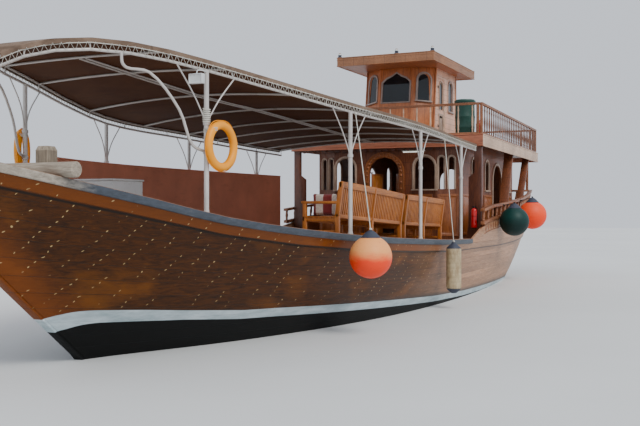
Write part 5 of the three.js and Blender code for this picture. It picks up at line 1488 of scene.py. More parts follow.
# %% [markdown]
# Each wheelhouse door hangs on two hinges at its front edge. The solid gives the leaf and hinges; a trim
# round its arched light, a pane and a lever handle ride with it.
# %% Wheelhouse doors
DOOR_X, DOOR_LIGHT_HALF, DOOR_LIGHT_SILL, DOOR_LIGHT_CROWN = -5.22, 0.17, 4.98, 5.76
HANDLE_X, HANDLE_Z, HINGE_Z = -5.46, 5.0, (4.5, 5.6)
for side, sign in SIDES:
    door_body = "house_leaf_" + side
    # The door leaf takes the side walls' paler boards, with the same painted highlight as the walls around
    # it.
    leaf = dressed("wheelhouse_door_" + side, "cabin_door_" + side, "lit_cabin_side", 0.004, door_body)
    second_finish(leaf, "black_iron", lambda f: f.center.x > -5.0 and abs(f.center.y) > CABIN_HALF - 0.001
                  and min(abs(f.center.z - z) for z in HINGE_Z) < 0.06)
    own_trims, own_panes = [], []
    window(Vector((DOOR_X, sign * (CABIN_HALF - 0.0014), 0)), sign * 90, DOOR_LIGHT_HALF, DOOR_LIGHT_SILL,
           DOOR_LIGHT_CROWN, 0.04, own_trims, 0.03, False, own_panes)
    lower = facing(panel(0.42, 4.26, 4.86, 0.012), Vector((DOOR_X, sign * (CABIN_HALF - 0.0014), 0)),
                   sign * 90)
    settle(own_trims + [lower], "cabin_door_trim_" + side, "pale_trim", body=door_body)
    settle(own_panes, "cabin_door_pane_" + side, "window_glass", body=door_body)
    stem = [Vector((HANDLE_X, sign * (CABIN_HALF + out), HANDLE_Z)) for out in (-0.003, 0.05)]
    lever = [Vector((HANDLE_X + reach, sign * (CABIN_HALF + 0.05), HANDLE_Z - drop))
             for reach, drop in ((-0.01, 0), (0.04, 0.002), (0.1, 0.008), (0.12, 0.02))]
    settle([round_bar(stem, 0.009, 3), round_bar(smooth_line(lever, 8), 0.008, 3)],
           "cabin_door_handle_" + side, "bronze", smooth=50, body=door_body)

# %% [markdown]
# A wide flat roof shades the wheelhouse. It has a thick edge with mouldings, boards underneath, and
# lights on short stubs: one at each front corner, one between them and one aft.
# %% Wheelhouse roof
ROOF_FRONT, ROOF_AFT, ROOF_HALF, ROOF_BOTTOM, ROOF_TOP = -3.4, -7.453, 1.397, 6.1, 6.352
roof = dressed("wheelhouse_roof", "roof_boards", "roof_wood", 0.012)
second_finish(roof, "cabin_wood", lambda f: f.normal.z < -0.6)
ring = [Vector(p) for p in ((ROOF_FRONT, ROOF_HALF, 0), (ROOF_FRONT, -ROOF_HALF, 0),
                            (ROOF_AFT, -ROOF_HALF, 0), (ROOF_AFT, ROOF_HALF, 0))]
edges = [round_bar([p + Vector((0, 0, z)) for p in ring], radius, 3, cyclic=True)
         for z, radius in ((ROOF_TOP - 0.014, 0.014), (ROOF_TOP - 0.075, 0.009),
                           (ROOF_BOTTOM + 0.012, 0.012))]
settle(edges, "roof_moulding", "roof_wood", smooth=60)

LAMP_PLACES = ((ROOF_FRONT - 0.06, ROOF_HALF - 0.06), (ROOF_FRONT - 0.06, 0.06 - ROOF_HALF),
               (ROOF_FRONT - 0.06, 0.33), (ROOF_AFT + 0.2, 0.0))
bodies, domes = [], []
for x, y in LAMP_PLACES:
    bodies.append(move_mesh(turned([(0, 0.062), (0.02, 0.062), (0.026, 0.046), (0.05, 0.044), (0.056, 0.052),
                                    (0.07, 0.052)], 16), (x, y, ROOF_TOP)))
    domes.append(move_mesh(turned([(0.07, 0.045), (0.09, 0.044), (0.11, 0.036), (0.125, 0.02),
                                   (0.13, 0.006)], 16), (x, y, ROOF_TOP)))
settle(bodies, "roof_lamp_bodies", "black_cap")
settle(domes, "roof_lamp_domes", "clear_dome", smooth=60)

# %% [markdown]
# Inside stands the steering wheel: a rim, a turned hub and eight turned spokes whose handles reach past
# the rim. It turns with the rudder, so everything on it rides on the helm.
# %% Steering wheel
HELM_X, HELM_Z, HELM_RADIUS, SPOKES = -4.89, 5.1, 0.33, 8
clear_selection()
bpy.ops.mesh.primitive_torus_add(major_radius=HELM_RADIUS, minor_radius=0.021, major_segments=48,
                                 minor_segments=10, rotation=(0, math.radians(90), 0))
rim = bpy.context.object
apply_all()
spoke = turned([(0.04, 0.012), (0.1, 0.016), (0.13, 0.022), (0.16, 0.013), (0.24, 0.011), (0.3, 0.014),
                (0.35, 0.014), (0.36, 0.01), (0.38, 0.017), (0.405, 0.016), (0.418, 0.008)], 10)
hub = tipped(turned([(-0.035, 0.03), (-0.03, 0.055), (0.0, 0.06), (0.03, 0.05), (0.0347, 0.05)], 20), 90)
wheel = move_mesh(together([rim, *fan(spoke, SPOKES), hub]), (HELM_X, 0, HELM_Z))
settle(wheel, "helm_wheel", "teak_upright", "steering_wheel", smooth=50, body="helm")
dressed("steering_stand", "helm_stand", "dark_wood", 0.01)

# %% [markdown]
# The things that stand on the upper deck by the front rail: a green drum with hoops and a lid, a white
# box with a lid, and a small red can beside the drum.
# %% Deck drum, box and can
DRUM_AT = Vector((-4.15, 2.03, UPPER_DECK_Z + 0.0003))
drum = turned([(0, 0.215), (0.012, 0.23), (0.03, 0.25), (0.21, 0.256), (0.23, 0.262), (0.26, 0.262),
               (0.28, 0.257), (0.49, 0.262), (0.51, 0.268), (0.54, 0.268), (0.56, 0.261), (0.87, 0.256),
               (0.9, 0.262), (0.91, 0.284), (0.955, 0.285), (0.96, 0.262), (0.985, 0.25), (0.99, 0.2),
               (0.982, 0.1)], 40)
settle(move_mesh(drum, DRUM_AT), "green_drum", "drum_paint", "deck_drum", smooth=35)
dressed("deck_box", "white_box", "white_paint", 0.02, segments=3)
lid = board((-4.012, 0.008, 4.548), (-3.588, 0.432, 4.5845), 0.01)
settle(lid, "white_box_lid", "white_paint")
can = turned([(0, 0.075), (0.006, 0.08), (0.02, 0.08), (0.02, 0.076), (0.3, 0.076), (0.3, 0.08),
              (0.315, 0.08), (0.335, 0.05), (0.34, 0.026), (0.38, 0.024), (0.385, 0.03), (0.41, 0.03),
              (0.412, 0.01)], 24)
settle(move_mesh(can, (-4.0, 2.45, UPPER_DECK_Z + 0.0003)), "red_can", "red_paint")

# %% [markdown]
# Along the starboard posts stands a screen of painted boards. Its solid is one curved strip, so a cap with
# a rounded edge follows its line from ring to ring of the hull.
# %% Side screen
SCREEN_INSET, SCREEN_THICK, SCREEN_TOP = 0.175, 0.025, 3.045
SCREEN_X = (-2.35, 7.9)
dressed("side_screen", "screen_boards", "screen_paint", 0.004)
start, end = place_of_head(SCREEN_X[1]), place_of_head(SCREEN_X[0])
places = [start] + [i * RING_STEP for i in range(40) if start < i * RING_STEP < end] + [end]
cap_line = [Vector((head.x, SCREEN_INSET - head.y + SCREEN_THICK / 2, SCREEN_TOP + 0.004))
            for head, _ in map(station, places)]
settle(round_bar(cap_line, 0.018, 3), "screen_cap", "screen_paint")

# %% [markdown]
# Two teak benches stand back to the port rail: square posts, flat arms, a slatted seat, and a reclined back
# of close upright slats under an arched crest. Both follow the slope of the deck, so they are made level
# and laid on it. One slat is made and repeated along the back.
# %% Benches
BENCH_BACK, BENCH_LEAN, BENCH_DEPTH, SEAT_HEIGHT, ARM_HEIGHT, BACK_HEIGHT = 2.4, 0.085, 0.7, 0.42, 0.65, 1.05
BENCH_POST = 0.07
BENCH_SPANS = {"fore": (1.92, 5.16), "aft": (-0.86, 1.74)}
CREST_CUTS = 11
CREST_RISE = 0.012
SLAT_PITCH = 0.085
SEAT_SLATS = 6


def slope_of(x0, x1):
    return (deck_at(x1) - deck_at(x0)) / (x1 - x0)


def on_slope(made, x0, x1):
    """Lays a piece that was made level, its foot at z = 0, on the deck's slope between two places."""
    lay = Matrix.Identity(4)
    lay[2][0], lay[2][3] = slope_of(x0, x1), deck_at(x0) - slope_of(x0, x1) * x0
    made.data.transform(lay)
    return made


def leaning(made):
    """Tilts what is above the seat outboard."""
    for vertex in made.data.vertices:
        vertex.co.y += BENCH_LEAN * max(vertex.co.z - SEAT_HEIGHT, 0) / (BACK_HEIGHT - SEAT_HEIGHT)
    return made


def crest(x0, x1, y0, y1, low, high):
    made = board((x0, y0, low), (x1, y1, high), 0)
    bpy.ops.object.mode_set(mode="EDIT")
    for i in range(1, CREST_CUTS):
        bpy.ops.mesh.select_all(action="SELECT")
        bpy.ops.mesh.bisect(plane_co=(x0 + (x1 - x0) * i / CREST_CUTS, 0, 0), plane_no=(1, 0, 0))
    leave_edit()
    for vertex in made.data.vertices:
        if vertex.co.z > (low + high) / 2:
            vertex.co.z += CREST_RISE * math.sin(math.pi * (vertex.co.x - x0) / (x1 - x0))
    return eased(made, 0.012, 3)

# %% [markdown]
# Uprights and lengthwise boards are kept apart, since their grain runs in different directions.
# %% Bench bodies
def bench(x0, x1):
    front, back, middle = BENCH_BACK - BENCH_DEPTH, BENCH_BACK, (x0 + x1) / 2
    seat, arm, top = SEAT_HEIGHT, ARM_HEIGHT, BACK_HEIGHT
    upright, along = [], []
    for x in (x0, middle - BENCH_POST / 2, x1 - BENCH_POST):
        end = x + BENCH_POST
        foot = min(deck_at(p) - deck_at(x0) - slope_of(x0, x1) * (p - x0) for p in (x, end)) + 0.001
        upright += [board((x, back - 0.08, foot), (end, back, seat + 0.004), 0.006),
                    leaning(board((x, back - 0.08, seat), (end, back, top - 0.032), 0.006)),
                    board((x, front, foot), (end, front + 0.07, arm), 0.008)]
        for low, high, bevel in (((-0.004, -0.03, arm - 0.01), (0.004, -0.04, arm + 0.04), 0.014),
                                 ((0.012, 0.02, seat - 0.09), (-0.012, -0.02, seat - 0.02), 0.006),
                                 ((0.018, 0.03, 0.14), (-0.018, -0.03, 0.18), 0.005)):
            along.append(board((x + low[0], front + low[1], low[2]),
                               (end + high[0], back + high[1], high[2]), bevel))
    along.append(board((x0, front, seat - 0.09), (x1, front + 0.04, seat - 0.004), 0.008))
    slat = board((x0, front + 0.012, seat - 0.024), (x1, front + 0.1, seat), 0.006)
    along.append(row_of(slat, SEAT_SLATS, (0, 0.108, 0)))
    along.append(leaning(board((x0, back - 0.06, seat - 0.02), (x1, back - 0.015, seat + 0.045), 0.006)))
    along.append(leaning(crest(x0, x1, back - 0.065, back - 0.01, top - 0.13, top - 0.02)))
    count = round((x1 - x0) / SLAT_PITCH) - 1
    slat = board((x0 + SLAT_PITCH - 0.022, back - 0.048, seat + 0.03),
                 (x0 + SLAT_PITCH + 0.022, back - 0.026, top - 0.12), 0.004)
    upright.append(leaning(row_of(slat, count, ((x1 - x0 - 2 * SLAT_PITCH) / (count - 1), 0, 0))))
    return together(upright), together(along)


for row, span in BENCH_SPANS.items():
    for kind, finish, made in zip(("frame", "boards"), ("teak_upright", "teak"), bench(*span)):
        settle(on_slope(made, *span), "bench_%s_%s" % (row, kind), finish, "bench_port_" + row)
    print("bench", row, round(span[1] - span[0], 2), "m long,", len(made.data.polygons), "faces of boards")

# %% [markdown]
# Two red seat pads and a striped back cushion lie on the benches. Each starts as a rounded block a
# little smaller than the pad. It is remeshed into even faces and blown up by a short cloth simulation
# with pressure, which pulls the sides in between the corners. The move of each point is capped.
# %% Cushions
PAD_VOXEL = 0.012
PAD_PRESSURE = 4.0
PAD_FRAMES = 20
PAD_CAP = 0.022


def inflated(made):
    apply_modifier(made, "REMESH", mode="VOXEL", voxel_size=PAD_VOXEL)
    start = [vertex.co.copy() for vertex in made.data.vertices]
    make_active(made)
    cloth = made.modifiers.new("cloth", "CLOTH")
    cloth.settings.use_pressure = True
    cloth.settings.uniform_pressure_force = PAD_PRESSURE
    cloth.settings.effector_weights.gravity = 0
    cloth.settings.quality = 4
    cloth.point_cache.frame_start = 1
    cloth.point_cache.frame_end = PAD_FRAMES
    for step in range(1, PAD_FRAMES + 1):
        bpy.context.scene.frame_set(step)
    bpy.ops.object.modifier_apply(modifier=cloth.name)
    bpy.context.scene.frame_set(1)
    for vertex, before in zip(made.data.vertices, start):
        moved = vertex.co - before
        if moved.length > PAD_CAP:
            vertex.co = before + moved * (PAD_CAP / moved.length)
    return apply_modifier(made, "SMOOTH", factor=0.5, iterations=4)

# %% [markdown]
# A pad keeps within its own corners after the simulation, and a ring of piping marks its two seams.
# %% Piping and pads
def seam_ring(low, high, z, inset):
    """Piping round a pad at height z, with rounded corners."""
    x0, x1, y0, y1 = low[0] + inset, high[0] - inset, low[1] + inset, high[1] - inset
    ring = []
    for (cx, cy), start in (((x1 - 0.04, y1 - 0.04), 0), ((x0 + 0.04, y1 - 0.04), 90),
                            ((x0 + 0.04, y0 + 0.04), 180), ((x1 - 0.04, y0 + 0.04), 270)):
        for step in range(5):
            angle = math.radians(start + 22.5 * step)
            ring.append(Vector((cx + 0.04 * math.cos(angle), cy + 0.04 * math.sin(angle), z)))
    return round_bar(ring, 0.006, 2, cyclic=True)


def seat_pad(name, span, low, high, finish, stands_for, inset=0.018):
    """A pad on the bench that spans `span`, between two corners, crowned on top and flat below."""
    shrink = Vector((inset, inset, 0.012))
    made = board(Vector(low) + shrink, Vector(high) - shrink, 0.03)
    made = inflated(made)
    floor_z = low[2] + 0.001
    top = high[2] + 0.012
    for vertex in made.data.vertices:
        vertex.co.z = min(max(vertex.co.z, floor_z), top)
        vertex.co.x = min(max(vertex.co.x, low[0]), high[0])
        vertex.co.y = min(max(vertex.co.y, low[1]), high[1])
    apply_modifier(made, "SUBSURF", levels=1, render_levels=1)
    settle(on_slope(made, *span), name, finish, stands_for, smooth=80)
    return made


for row, (x0, x1) in BENCH_SPANS.items():
    low = Vector((x0 + 0.09, BENCH_BACK - BENCH_DEPTH + 0.02, SEAT_HEIGHT + 0.0003))
    high = Vector(((x0 + x1) / 2 - 0.055, BENCH_BACK - 0.095, low.z + 0.095))
    pad = seat_pad("seat_pad_" + row, (x0, x1), low, high, "cushion_cloth", "cushion_port_" + row)
    piping = together([seam_ring(low, high, z, 0.006) for z in (low.z + 0.022, high.z - 0.022)])
    settle(on_slope(piping, x0, x1), "seat_pad_piping_" + row, "cushion_cloth", smooth=50)
    print("seat pad", row, len(pad.data.vertices), "points")
seat_pad("striped_cushion", BENCH_SPANS["fore"], (4.76, 1.74, SEAT_HEIGHT), (4.95, 2.26, SEAT_HEIGHT + 0.44),
         "bolster_cloth", None, 0.03)

# %% [markdown]
# The quarters rise behind the rail as planked sides with a balustrade. The solid keeps its boards and
# square balusters; each baluster gets two turned rings and a swelling, and the boards get a carved band
# of lozenges, all of it placed on the same lines as the solid.
# %% Quarter sides
QUARTER_TOP = ((8.62, 0.09), (8.8, 0.15), (8.95, 0.3), (9.1, 0.45), (9.4, 0.54), (10, 0.61), (11, 0.74),
               (12, 0.86), (13, 0.96))
QUARTER_OUT, QUARTER_SKIN, QUARTER_RAIL, QUARTER_GAP = 0.03, 0.05, 0.07, 0.33
BALUSTER_FIRST, BALUSTERS, LOZENGES = 9.1, 21, 34
BAND_PLACES = [9.15 + 3.8 * i / 24 for i in range(25)]


def quarter_height(at):
    for (a, low), (b, high) in zip(QUARTER_TOP, QUARTER_TOP[1:]):
        if at <= b:
            break
    return low + (high - low) * max(at - a, 0) / (b - a)


def quarter_point(at, height, out):
    head, rake = station(at)
    return Vector((head.x + min(rake, 0) * height, head.y + out, head.z + height))


def between_points(piece, start, end):
    """Stretches a turned piece that is one metre high along the line from start to end."""
    along = end - start
    turn = Vector((0, 0, 1)).rotation_difference(along.normalized()).to_matrix().to_4x4()
    piece.data.transform(Matrix.Translation(start) @ turn @ Matrix.Scale(along.length, 4, (0, 0, 1)))
    return piece


BALUSTER = ((0.06, 0.0305), (0.1, 0.0305), (0.13, 0.036), (0.17, 0.0305), (0.3, 0.034), (0.5, 0.042),
            (0.7, 0.034), (0.83, 0.0305), (0.87, 0.036), (0.9, 0.0305), (0.94, 0.0305))


def quarter_detail(sign):
    pieces = []
    end = LAST_STATION - 0.02
    middle = QUARTER_OUT - QUARTER_SKIN / 2
    for i in range(BALUSTERS):
        at = BALUSTER_FIRST + 0.03 + (end - BALUSTER_FIRST - 0.06) * i / (BALUSTERS - 1)
        foot = quarter_point(at, quarter_height(at) + QUARTER_RAIL, middle)
        head = quarter_point(at, quarter_height(at) + QUARTER_GAP, middle)
        pieces.append(between_points(turned(BALUSTER, 10), foot, head))
    for i in range(LOZENGES):
        at = BALUSTER_FIRST + 0.1 + (end - BALUSTER_FIRST - 0.2) * i / (LOZENGES - 1)
        place_on = quarter_point(at, quarter_height(at) - 0.14, QUARTER_OUT + 0.001)
        boss = turned([(0, 0.1), (0.006, 0.085), (0.012, 0.06), (0.022, 0.015)], 4)
        boss.data.transform(Matrix.Translation(place_on) @ turn_by(-90, "X"))
        pieces.append(boss)
    for drop in (0.03, 0.25):
        line = [quarter_point(at, quarter_height(at) - drop, QUARTER_OUT + 0.002) for at in BAND_PLACES]
        pieces.append(round_bar(line, 0.012, 2))
    whole = together(pieces)
    return mirrored(whole) if sign < 0 else whole


for side, sign in SIDES:
    quarter = dressed("quarter_side_" + side, "quarter_boards_" + side, "hull_varnish", 0.006)
    second_finish(quarter, "quarter_wood", lambda f: f.center.z > 1.6 and f.center.x < -3.0 and
                  f.center.z > station(place_of_head(max(f.center.x, -9.86)))[0].z + 0.42)
    settle(quarter_detail(sign), "quarter_carving_" + side, "quarter_wood", smooth=45)
dressed("stern_board", "stern_boards", "quarter_wood", 0.006)

# %% [markdown]
# Four fenders hang from lines on the port side: three inflated balls and a long one. A ball is turned
# from a small disc at its foot up to a neck, and a cone cap and a knotted line are added above it.
# %% Fenders
FENDER_LINE, KNOT_RADIUS = 0.009, 0.02
BALL_STEPS = 22


def ball(radius, middle):
    """A ball with its pole below, closing to a neck on top."""
    profile = []
    for i in range(BALL_STEPS + 1):
        angle = math.radians(-86 + 150 * i / BALL_STEPS)
        profile.append((radius * math.sin(angle), radius * math.cos(angle)))
    profile += [(radius * 1.02, radius * 0.30), (radius * 1.10, radius * 0.2),
                (radius * 1.14, radius * 0.14)]
    return move_mesh(turned(profile, 40), middle)


def cone_cap(radius, middle):
    cone = [(radius * 0.9, radius * 0.47), (radius * 0.915, radius * 0.455), (radius * 1.14, radius * 0.24),
            (radius * 1.20, radius * 0.15), (radius * 1.235, radius * 0.10), (radius * 1.24, radius * 0.04)]
    return move_mesh(turned(cone, 24), middle)


def knot(at):
    """Three loops of line drawn tight round each other."""
    loops = []
    for i in range(3):
        ring = [Vector((KNOT_RADIUS * math.cos(a), KNOT_RADIUS * math.sin(a),
                        0.008 * (i - 1) + 0.3 * KNOT_RADIUS * math.cos(a + i)))
                for a in (math.radians(45 * step) for step in range(8))]
        loops.append(round_bar([at + p for p in ring], FENDER_LINE * 0.9, 2, cyclic=True))
    return loops


def hung_line(start, end):
    return round_bar(smooth_line([start, start.lerp(end, 0.5), end], 12), FENDER_LINE, 2)

# %% [markdown]
# Each ball gets its own finish and hangs from the frame or from the balustrade; its line is knotted at
# both ends.
# %% Ball fenders
def ball_fender(name, radius, middle, line_top, rope_finish, body, crown, fade):
    node, finish, name = "ball_fender_" + name, name + "_ball", name + "_ball_fender"
    finishes[finish] = ball_plastic(finish, body, crown, middle.z, radius, fade)
    settle(ball(radius, middle), name, finish, node, smooth=50)
    settle(cone_cap(radius, middle), name + "_cap", "black_cap", node, smooth=45)
    top = middle + Vector((0, 0, radius * 1.24))
    settle([hung_line(top, line_top), *knot(top + Vector((0, 0, 0.02))), *knot(line_top)],
           name + "_line", rope_finish, node, smooth=50)


def balustrade_hook(place_at):
    """Where a fender's line is made fast under the quarter's top rail."""
    return quarter_point(place_at, quarter_height(place_at) + QUARTER_GAP + 0.02, 0.085)


ball_fender("fore", 0.362, Vector((5.326, 3.06, 1.37)), edge_at(5.0)[0] + Vector((0, 0.03, -0.02)), "rope",
            (255, 84, 54), (255, 176, 122), 0.95)
ball_fender("green", 0.394, Vector((-4.86, 3.205, 1.827)), balustrade_hook(9.9), "dark_rope",
            (10, 40, 38), (18, 58, 54), 0.7)
ball_fender("aft", 0.42, Vector((-7.695, 3.11, 1.974)), balustrade_hook(10.85), "dark_rope",
            (255, 82, 48), (255, 106, 74), 0.6)

# %% [markdown]
# The long fender is a ribbed tube with a black cap at each end.
# %% Long fender
LONG_AT, LONG_LOW, LONG_HIGH, LONG_RADIUS = Vector((0.548, 3.1, 0)), 0.35, 1.42, 0.163
LONG_PARTS = 8
long_profile = [(LONG_LOW + 0.1, LONG_RADIUS - 0.008), (LONG_LOW + 0.13, LONG_RADIUS)]
for i in range(1, LONG_PARTS):
    z = LONG_LOW + 0.13 + (LONG_HIGH - LONG_LOW - 0.26) * i / LONG_PARTS
    long_profile += [(z - 0.012, LONG_RADIUS), (z, LONG_RADIUS - 0.004), (z + 0.012, LONG_RADIUS)]
long_profile += [(LONG_HIGH - 0.13, LONG_RADIUS), (LONG_HIGH - 0.1, LONG_RADIUS - 0.008)]
settle(move_mesh(turned(long_profile, 32), LONG_AT), "long_fender_body", "fender_cream",
       "long_fender", smooth=50)
LONG_CAP = ((0.11, LONG_RADIUS - 0.005), (0.085, LONG_RADIUS - 0.013), (0.02, 0.08), (0.0, 0.052),
            (-0.03, 0.04))
caps = [turned([(LONG_HIGH - drop, radius) for drop, radius in LONG_CAP], 32),
        turned([(LONG_LOW + drop, radius) for drop, radius in LONG_CAP[3::-1]], 32)]
settle(move_mesh(together(caps), LONG_AT), "long_fender_caps", "black_cap", "long_fender", smooth=45)
long_top = edge_at(0.284)[0] + Vector((0, 0.028, -0.02))
line_foot = LONG_AT + Vector((0, 0, LONG_HIGH + 0.02))
settle([hung_line(line_foot, long_top), *knot(line_foot + Vector((0, 0, 0.03))), *knot(long_top)],
       "long_fender_line", "rope", "long_fender", smooth=50)

# %% [markdown]
# A plain orange lifebuoy hangs beside each first post. The ring is a torus, a grab line of the same
# colour runs round it in loose bights, and a pale lashing ties it to the post.
# %% Lifebuoys
BUOY_RING, BUOY_BODY, POST_X = 0.305, 0.061, 8.318
# how far aft of the post, height, turn in degrees, side
BUOYS = {"port": (0.208, 3.098, 5, 1), "starboard": (0.165, 3.12, 30, -1)}


def buoy_torus():
    clear_selection()
    bpy.ops.mesh.primitive_torus_add(major_radius=BUOY_RING, minor_radius=BUOY_BODY, major_segments=56,
                                     minor_segments=20, rotation=(math.radians(90), 0, 0))
    apply_all()
    return bpy.context.object


def grab_line():
    loops = []
    for quarter in range(4):
        line = []
        for step in range(13):
            share = step / 12
            angle = math.radians(90 * quarter + 90 * share)
            reach = BUOY_RING + BUOY_BODY + 0.004 + 0.018 * math.sin(math.pi * share)
            line.append(Vector((reach * math.cos(angle), 0.012 * math.sin(2 * math.pi * share),
                                reach * math.sin(angle))))
        loops.append(round_bar(line, 0.006, 2))
    return loops

# %% [markdown]
# Each ring is turned a little about the post, and three tight loops of cord hold it there.
# %% Lifebuoys beside the posts
for side, (aft, z, turn, sign) in BUOYS.items():
    post_y = edge_at(POST_X)[0].y
    turn = math.radians(turn)
    y = post_y + (POST_TUBE + BUOY_BODY + 0.007) / math.cos(turn) + aft * math.tan(turn)
    move = Matrix.Translation((POST_X - aft, y, z)) @ Matrix.Rotation(-turn, 4, "Z")
    if sign < 0:
        move = Matrix.Scale(-1, 4, (0, 1, 0)) @ move
    tie_z = z + math.sqrt(BUOY_RING ** 2 - (aft / math.cos(turn)) ** 2)
    lashing = [round_bar([Vector((POST_X + 0.045 * math.cos(a),
                                  sign * (post_y + 0.066 + 0.116 * math.sin(a)),
                                  tie_z + lift + 0.01 * math.sin(a)))
                          for a in (math.radians(30 * step) for step in range(12))], 0.006, 2, cyclic=True)
               for lift in (-0.02, 0.0, 0.02)]
    for name, made in (("ring", [buoy_torus()]), ("line", grab_line())):
        whole = together(made)
        whole.data.transform(move)
        if sign < 0:
            whole.data.flip_normals()
        settle(whole, "lifebuoy_%s_%s" % (name, side), "ring_plastic", "lifebuoy_" + side,
               smooth=50)
    settle(lashing, "lifebuoy_lashing_" + side, "rope", smooth=50)
print("lifebuoys", list(BUOYS))

# %% [markdown]
# A red fire extinguisher hangs on the port pillar. Its body is turned, and a valve head, a lever pair, a
# hose and a strap are added round it.
# %% Fire extinguisher
BOTTLE_AT = Vector((-3.26, 2.52, 1.68))
bottle = turned([(0, 0.07), (0.01, 0.078), (0.03, 0.082), (0.42, 0.082), (0.45, 0.077), (0.475, 0.064),
                 (0.49, 0.045), (0.5, 0.026), (0.52, 0.024)], 32)
settle(move_mesh(bottle, BOTTLE_AT), "extinguisher_body", "red_paint", "fire_extinguisher")
valve = [move_mesh(turned([(0.51, 0.028), (0.53, 0.03), (0.548, 0.022), (0.556, 0.012)], 16), BOTTLE_AT)]
for lift, reach in ((0.552, 0.062), (0.53, 0.07)):
    valve.append(round_bar([BOTTLE_AT + Vector((0, 0.01, lift)),
                            BOTTLE_AT + Vector((0, -reach, lift + 0.002))], 0.006, 2))
hose = [BOTTLE_AT + Vector(p) for p in ((0, 0.02, 0.535), (0.01, 0.07, 0.53), (0.015, 0.093, 0.47),
                                        (0.012, 0.095, 0.3), (0.01, 0.092, 0.14))]
valve.append(round_bar(smooth_line(hose, 20), 0.0085, 3))
strap = [BOTTLE_AT + Vector((0.0835 * math.cos(a), 0.0835 * math.sin(a), 0.3)) for a in
         (math.radians(15 * step) for step in range(24))]
valve.append(round_bar(strap, 0.005, 2, cyclic=True))
settle(valve, "extinguisher_valve_and_hose", "black_iron", "fire_extinguisher", smooth=50)

# %% [markdown]
# A white floodlight hangs outside the first port post from a bent bracket: a box whose front is inset for
# the glass and whose back has cooling ribs.
# %% Floodlight
LIGHT_AT = Vector((8.56, 1.69, 4.03))
housing = board(LIGHT_AT - Vector((0.045, 0.11, 0.07)), LIGHT_AT + Vector((0.045, 0.11, 0.07)), 0)
make_active(housing)
select_points(housing, lambda co: co.x > LIGHT_AT.x + 0.04)
bpy.ops.mesh.select_mode(type="FACE")
bpy.ops.mesh.inset(thickness=0.012, depth=0)
bpy.ops.mesh.inset(thickness=0.004, depth=-0.01)
leave_edit()
eased(housing, 0.006)
ribs = [board(LIGHT_AT + Vector((-0.062, y - 0.003, -0.06)),
              LIGHT_AT + Vector((-0.04, y + 0.003, 0.06)), 0.001)
        for y in (-0.08, -0.05, -0.02, 0.01, 0.04, 0.07)]
bracket = [LIGHT_AT + Vector((0, 0, 0.068)), LIGHT_AT + Vector((-0.02, 0, 0.12)), Vector((8.36, 1.72, 4.16)),
           Vector((8.32, 1.7, 4.17))]
bracket = round_bar(smooth_line(bracket, 12), 0.008, 2)
settle([housing, *ribs, bracket], "post_floodlight", "white_paint")

# %% [markdown]
# Ropes: turns of line are wound round the first port post where its braces meet it, as the photograph
# shows, and a mooring line lies in four square turns round each bitt.
# %% Ropes on post and bitts
ROPE, POST_TURNS, BITT_TURNS = 0.011, 7, 4
BITT_X, BITT_Y, BITT_HALF = 10.4, 0.6, 0.097
turns = []
post_head = edge_at(POST_X)[0]
for i in range(POST_TURNS):
    z = post_head.z - 0.75 + 0.03 * i
    turns.append(round_bar([Vector((POST_X + 0.05 * math.cos(a), post_head.y + 0.05 * math.sin(a),
                                    z + 0.0016 * step))
                            for step, a in enumerate(math.radians(30 * s) for s in range(12))], ROPE, 2,
                           cyclic=True))
for sign in (1, -1):
    for i in range(BITT_TURNS):
        reach, z = BITT_HALF + ROPE, 2.66 + 0.023 * i
        corners = [(reach, reach), (-reach, reach), (-reach, -reach), (reach, -reach)]
        turns.append(round_bar([Vector((BITT_X + u, sign * BITT_Y + v, z)) for u, v in corners], ROPE, 2,
                               cyclic=True))
settle(turns, "rope_turns", "rope", smooth=50)

# %% [markdown]
# Under water, the screw turns in front of the rudder. A blade is a grid laid out as a broad, twisted leaf
# and thickened, then copied round a turned boss. The rudder keeps its solid and gets iron straps.
# %% Screw and rudder
SCREW_AT, SCREW_RADIUS, BLADES = Vector((-7.76, 0, -1.13)), 0.345, 4
BLADE_PITCH = 55
clear_selection()
bpy.ops.mesh.primitive_grid_add(x_subdivisions=10, y_subdivisions=14, size=1)
blade = bpy.context.object
for vertex in blade.data.vertices:
    u, share = vertex.co.x * 2, vertex.co.y + 0.5
    reach = 0.05 + (SCREW_RADIUS - 0.055) * share
    width = 0.115 * math.sin(math.pi * min(0.16 + 0.84 * share, 0.97)) ** 0.6
    turn = math.radians(BLADE_PITCH - 22 * (share - 0.3))
    across = u * width
    vertex.co = (across * math.cos(turn), across * math.sin(turn), reach)
apply_modifier(blade, "SOLIDIFY", thickness=0.012, offset=0)
eased(blade, 0.003)
boss = tipped(turned([(-0.095, 0.025), (-0.085, 0.045), (-0.04, 0.06), (0.02, 0.07), (0.075, 0.066),
                      (0.08, 0.033), (0.3297, 0.032)], 24), 90)
screw = move_mesh(together(fan(blade, BLADES) + [boss]), SCREW_AT)
settle(screw, "bronze_screw", "bronze", "propeller", smooth=45, body="screw")

dressed("rudder", "rudder_blade", "hull_varnish", 0.008, "rudder", segments=3)
straps = [board((-9.05, -0.038, z), (-8.45, 0.038, z + 0.07), 0.006) for z in (-1.36, -1.0)]
settle(straps, "rudder_straps", "black_iron", body="rudder")

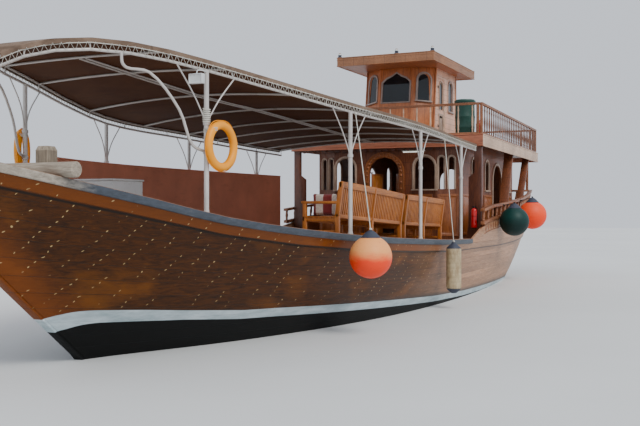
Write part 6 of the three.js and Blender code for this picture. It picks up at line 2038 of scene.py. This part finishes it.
# %% [markdown]
# The engine fills the well under its hatch: a block with a head, six rocker covers, a manifold on each
# side, a plate for its feet and a flywheel. The hatch over it is a lid of planks with two cross battens.
# %% Engine and hatch
ROCKER_COVERS, COVER_PITCH, HATCH_PLANKS = 6, 0.19, 7
ENGINE_LOW, ENGINE_HIGH = (Vector(corner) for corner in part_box("engine"))
x0, x1, half = ENGINE_LOW.x, ENGINE_HIGH.x, ENGINE_HIGH.y
engine = [board((x0, -half * 0.62, ENGINE_LOW.z), (x1 - 0.25, half * 0.62, -0.1), 0.03),
          board((x0 + 0.05, -half * 0.45, -0.12), (x1 - 0.3, half * 0.45, 0.16), 0.02),
          board((x0 + 0.02, -half, -0.42), (x1 - 0.1, half, -0.34), 0.015)]
for i in range(ROCKER_COVERS):
    x = COVER_PITCH * i
    engine.append(board((x0 + 0.09 + x, -0.1, 0.14), (x0 + 0.25 + x, 0.1, ENGINE_HIGH.z), 0.02))
for sign in (1, -1):
    manifold = [Vector((x, sign * half * 0.72, -0.02)) for x in (x0 + 0.05, x1 - 0.35)]
    engine.append(round_bar(manifold, 0.055, 4))
flywheel = turned([(0, 0.25), (0.01, 0.27), (0.12, 0.27), (0.13, 0.25), (0.13, 0.1), (0.22, 0.08)], 32)
flywheel.data.transform(Matrix.Translation((x1 - 0.25, 0, -0.28)) @ turn_by(90, "Y"))
settle(engine + [flywheel], "diesel_engine", "engine_paint", "engine")

hatch_low, hatch_high = (Vector(corner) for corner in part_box("engine_hatch"))
planks = []
for i in range(HATCH_PLANKS):
    y = hatch_low.y + (hatch_high.y - hatch_low.y) * i / HATCH_PLANKS
    planks.append(board((hatch_low.x, y + 0.002, hatch_low.z),
                        (hatch_high.x, y + 0.148, hatch_high.z - 0.008), 0.004))
for x in (hatch_low.x + 0.15, hatch_high.x - 0.25):
    planks.append(board((x, hatch_low.y, hatch_high.z - 0.012), (x + 0.1, hatch_high.y, hatch_high.z),
                        0.003))
settle(planks, "engine_hatch_planks", "teak", "engine_hatch", body="hatch")

# %% [markdown]
# Two lamps show in the photograph: a tube light under the awning's aft end by the house front, and a warm
# bulb inside the port side doorway. Both glow a little; the tube sits in a white tray.
# %% Lamps
tray = board((HOUSE_FRONT + 0.004, 0.52, 3.70), (HOUSE_FRONT + 0.06, 1.16, 3.735), 0.006)
tube = round_bar([Vector((HOUSE_FRONT + 0.035, 0.55, 3.685)), Vector((HOUSE_FRONT + 0.035, 1.13, 3.685))],
                 0.013, 4)
settle(tray, "tube_light_tray", "lamp_body")
settle(tube, "tube_light", "tube_lamp", smooth=60)
DOORWAY_LAMP_AT = (-7.2, 1.55, 0)
base = turned([(3.86, 0.03), (3.87, 0.045), (3.9346, 0.05)], 16)
bulb = turned([(3.745, 0.012), (3.755, 0.035), (3.78, 0.048), (3.81, 0.045), (3.84, 0.03),
               (3.865, 0.022)], 16)
settle(move_mesh(base, DOORWAY_LAMP_AT), "doorway_lamp_base", "lamp_body")
settle(move_mesh(bulb, DOORWAY_LAMP_AT), "doorway_lamp_bulb", "warm_lamp", smooth=60)
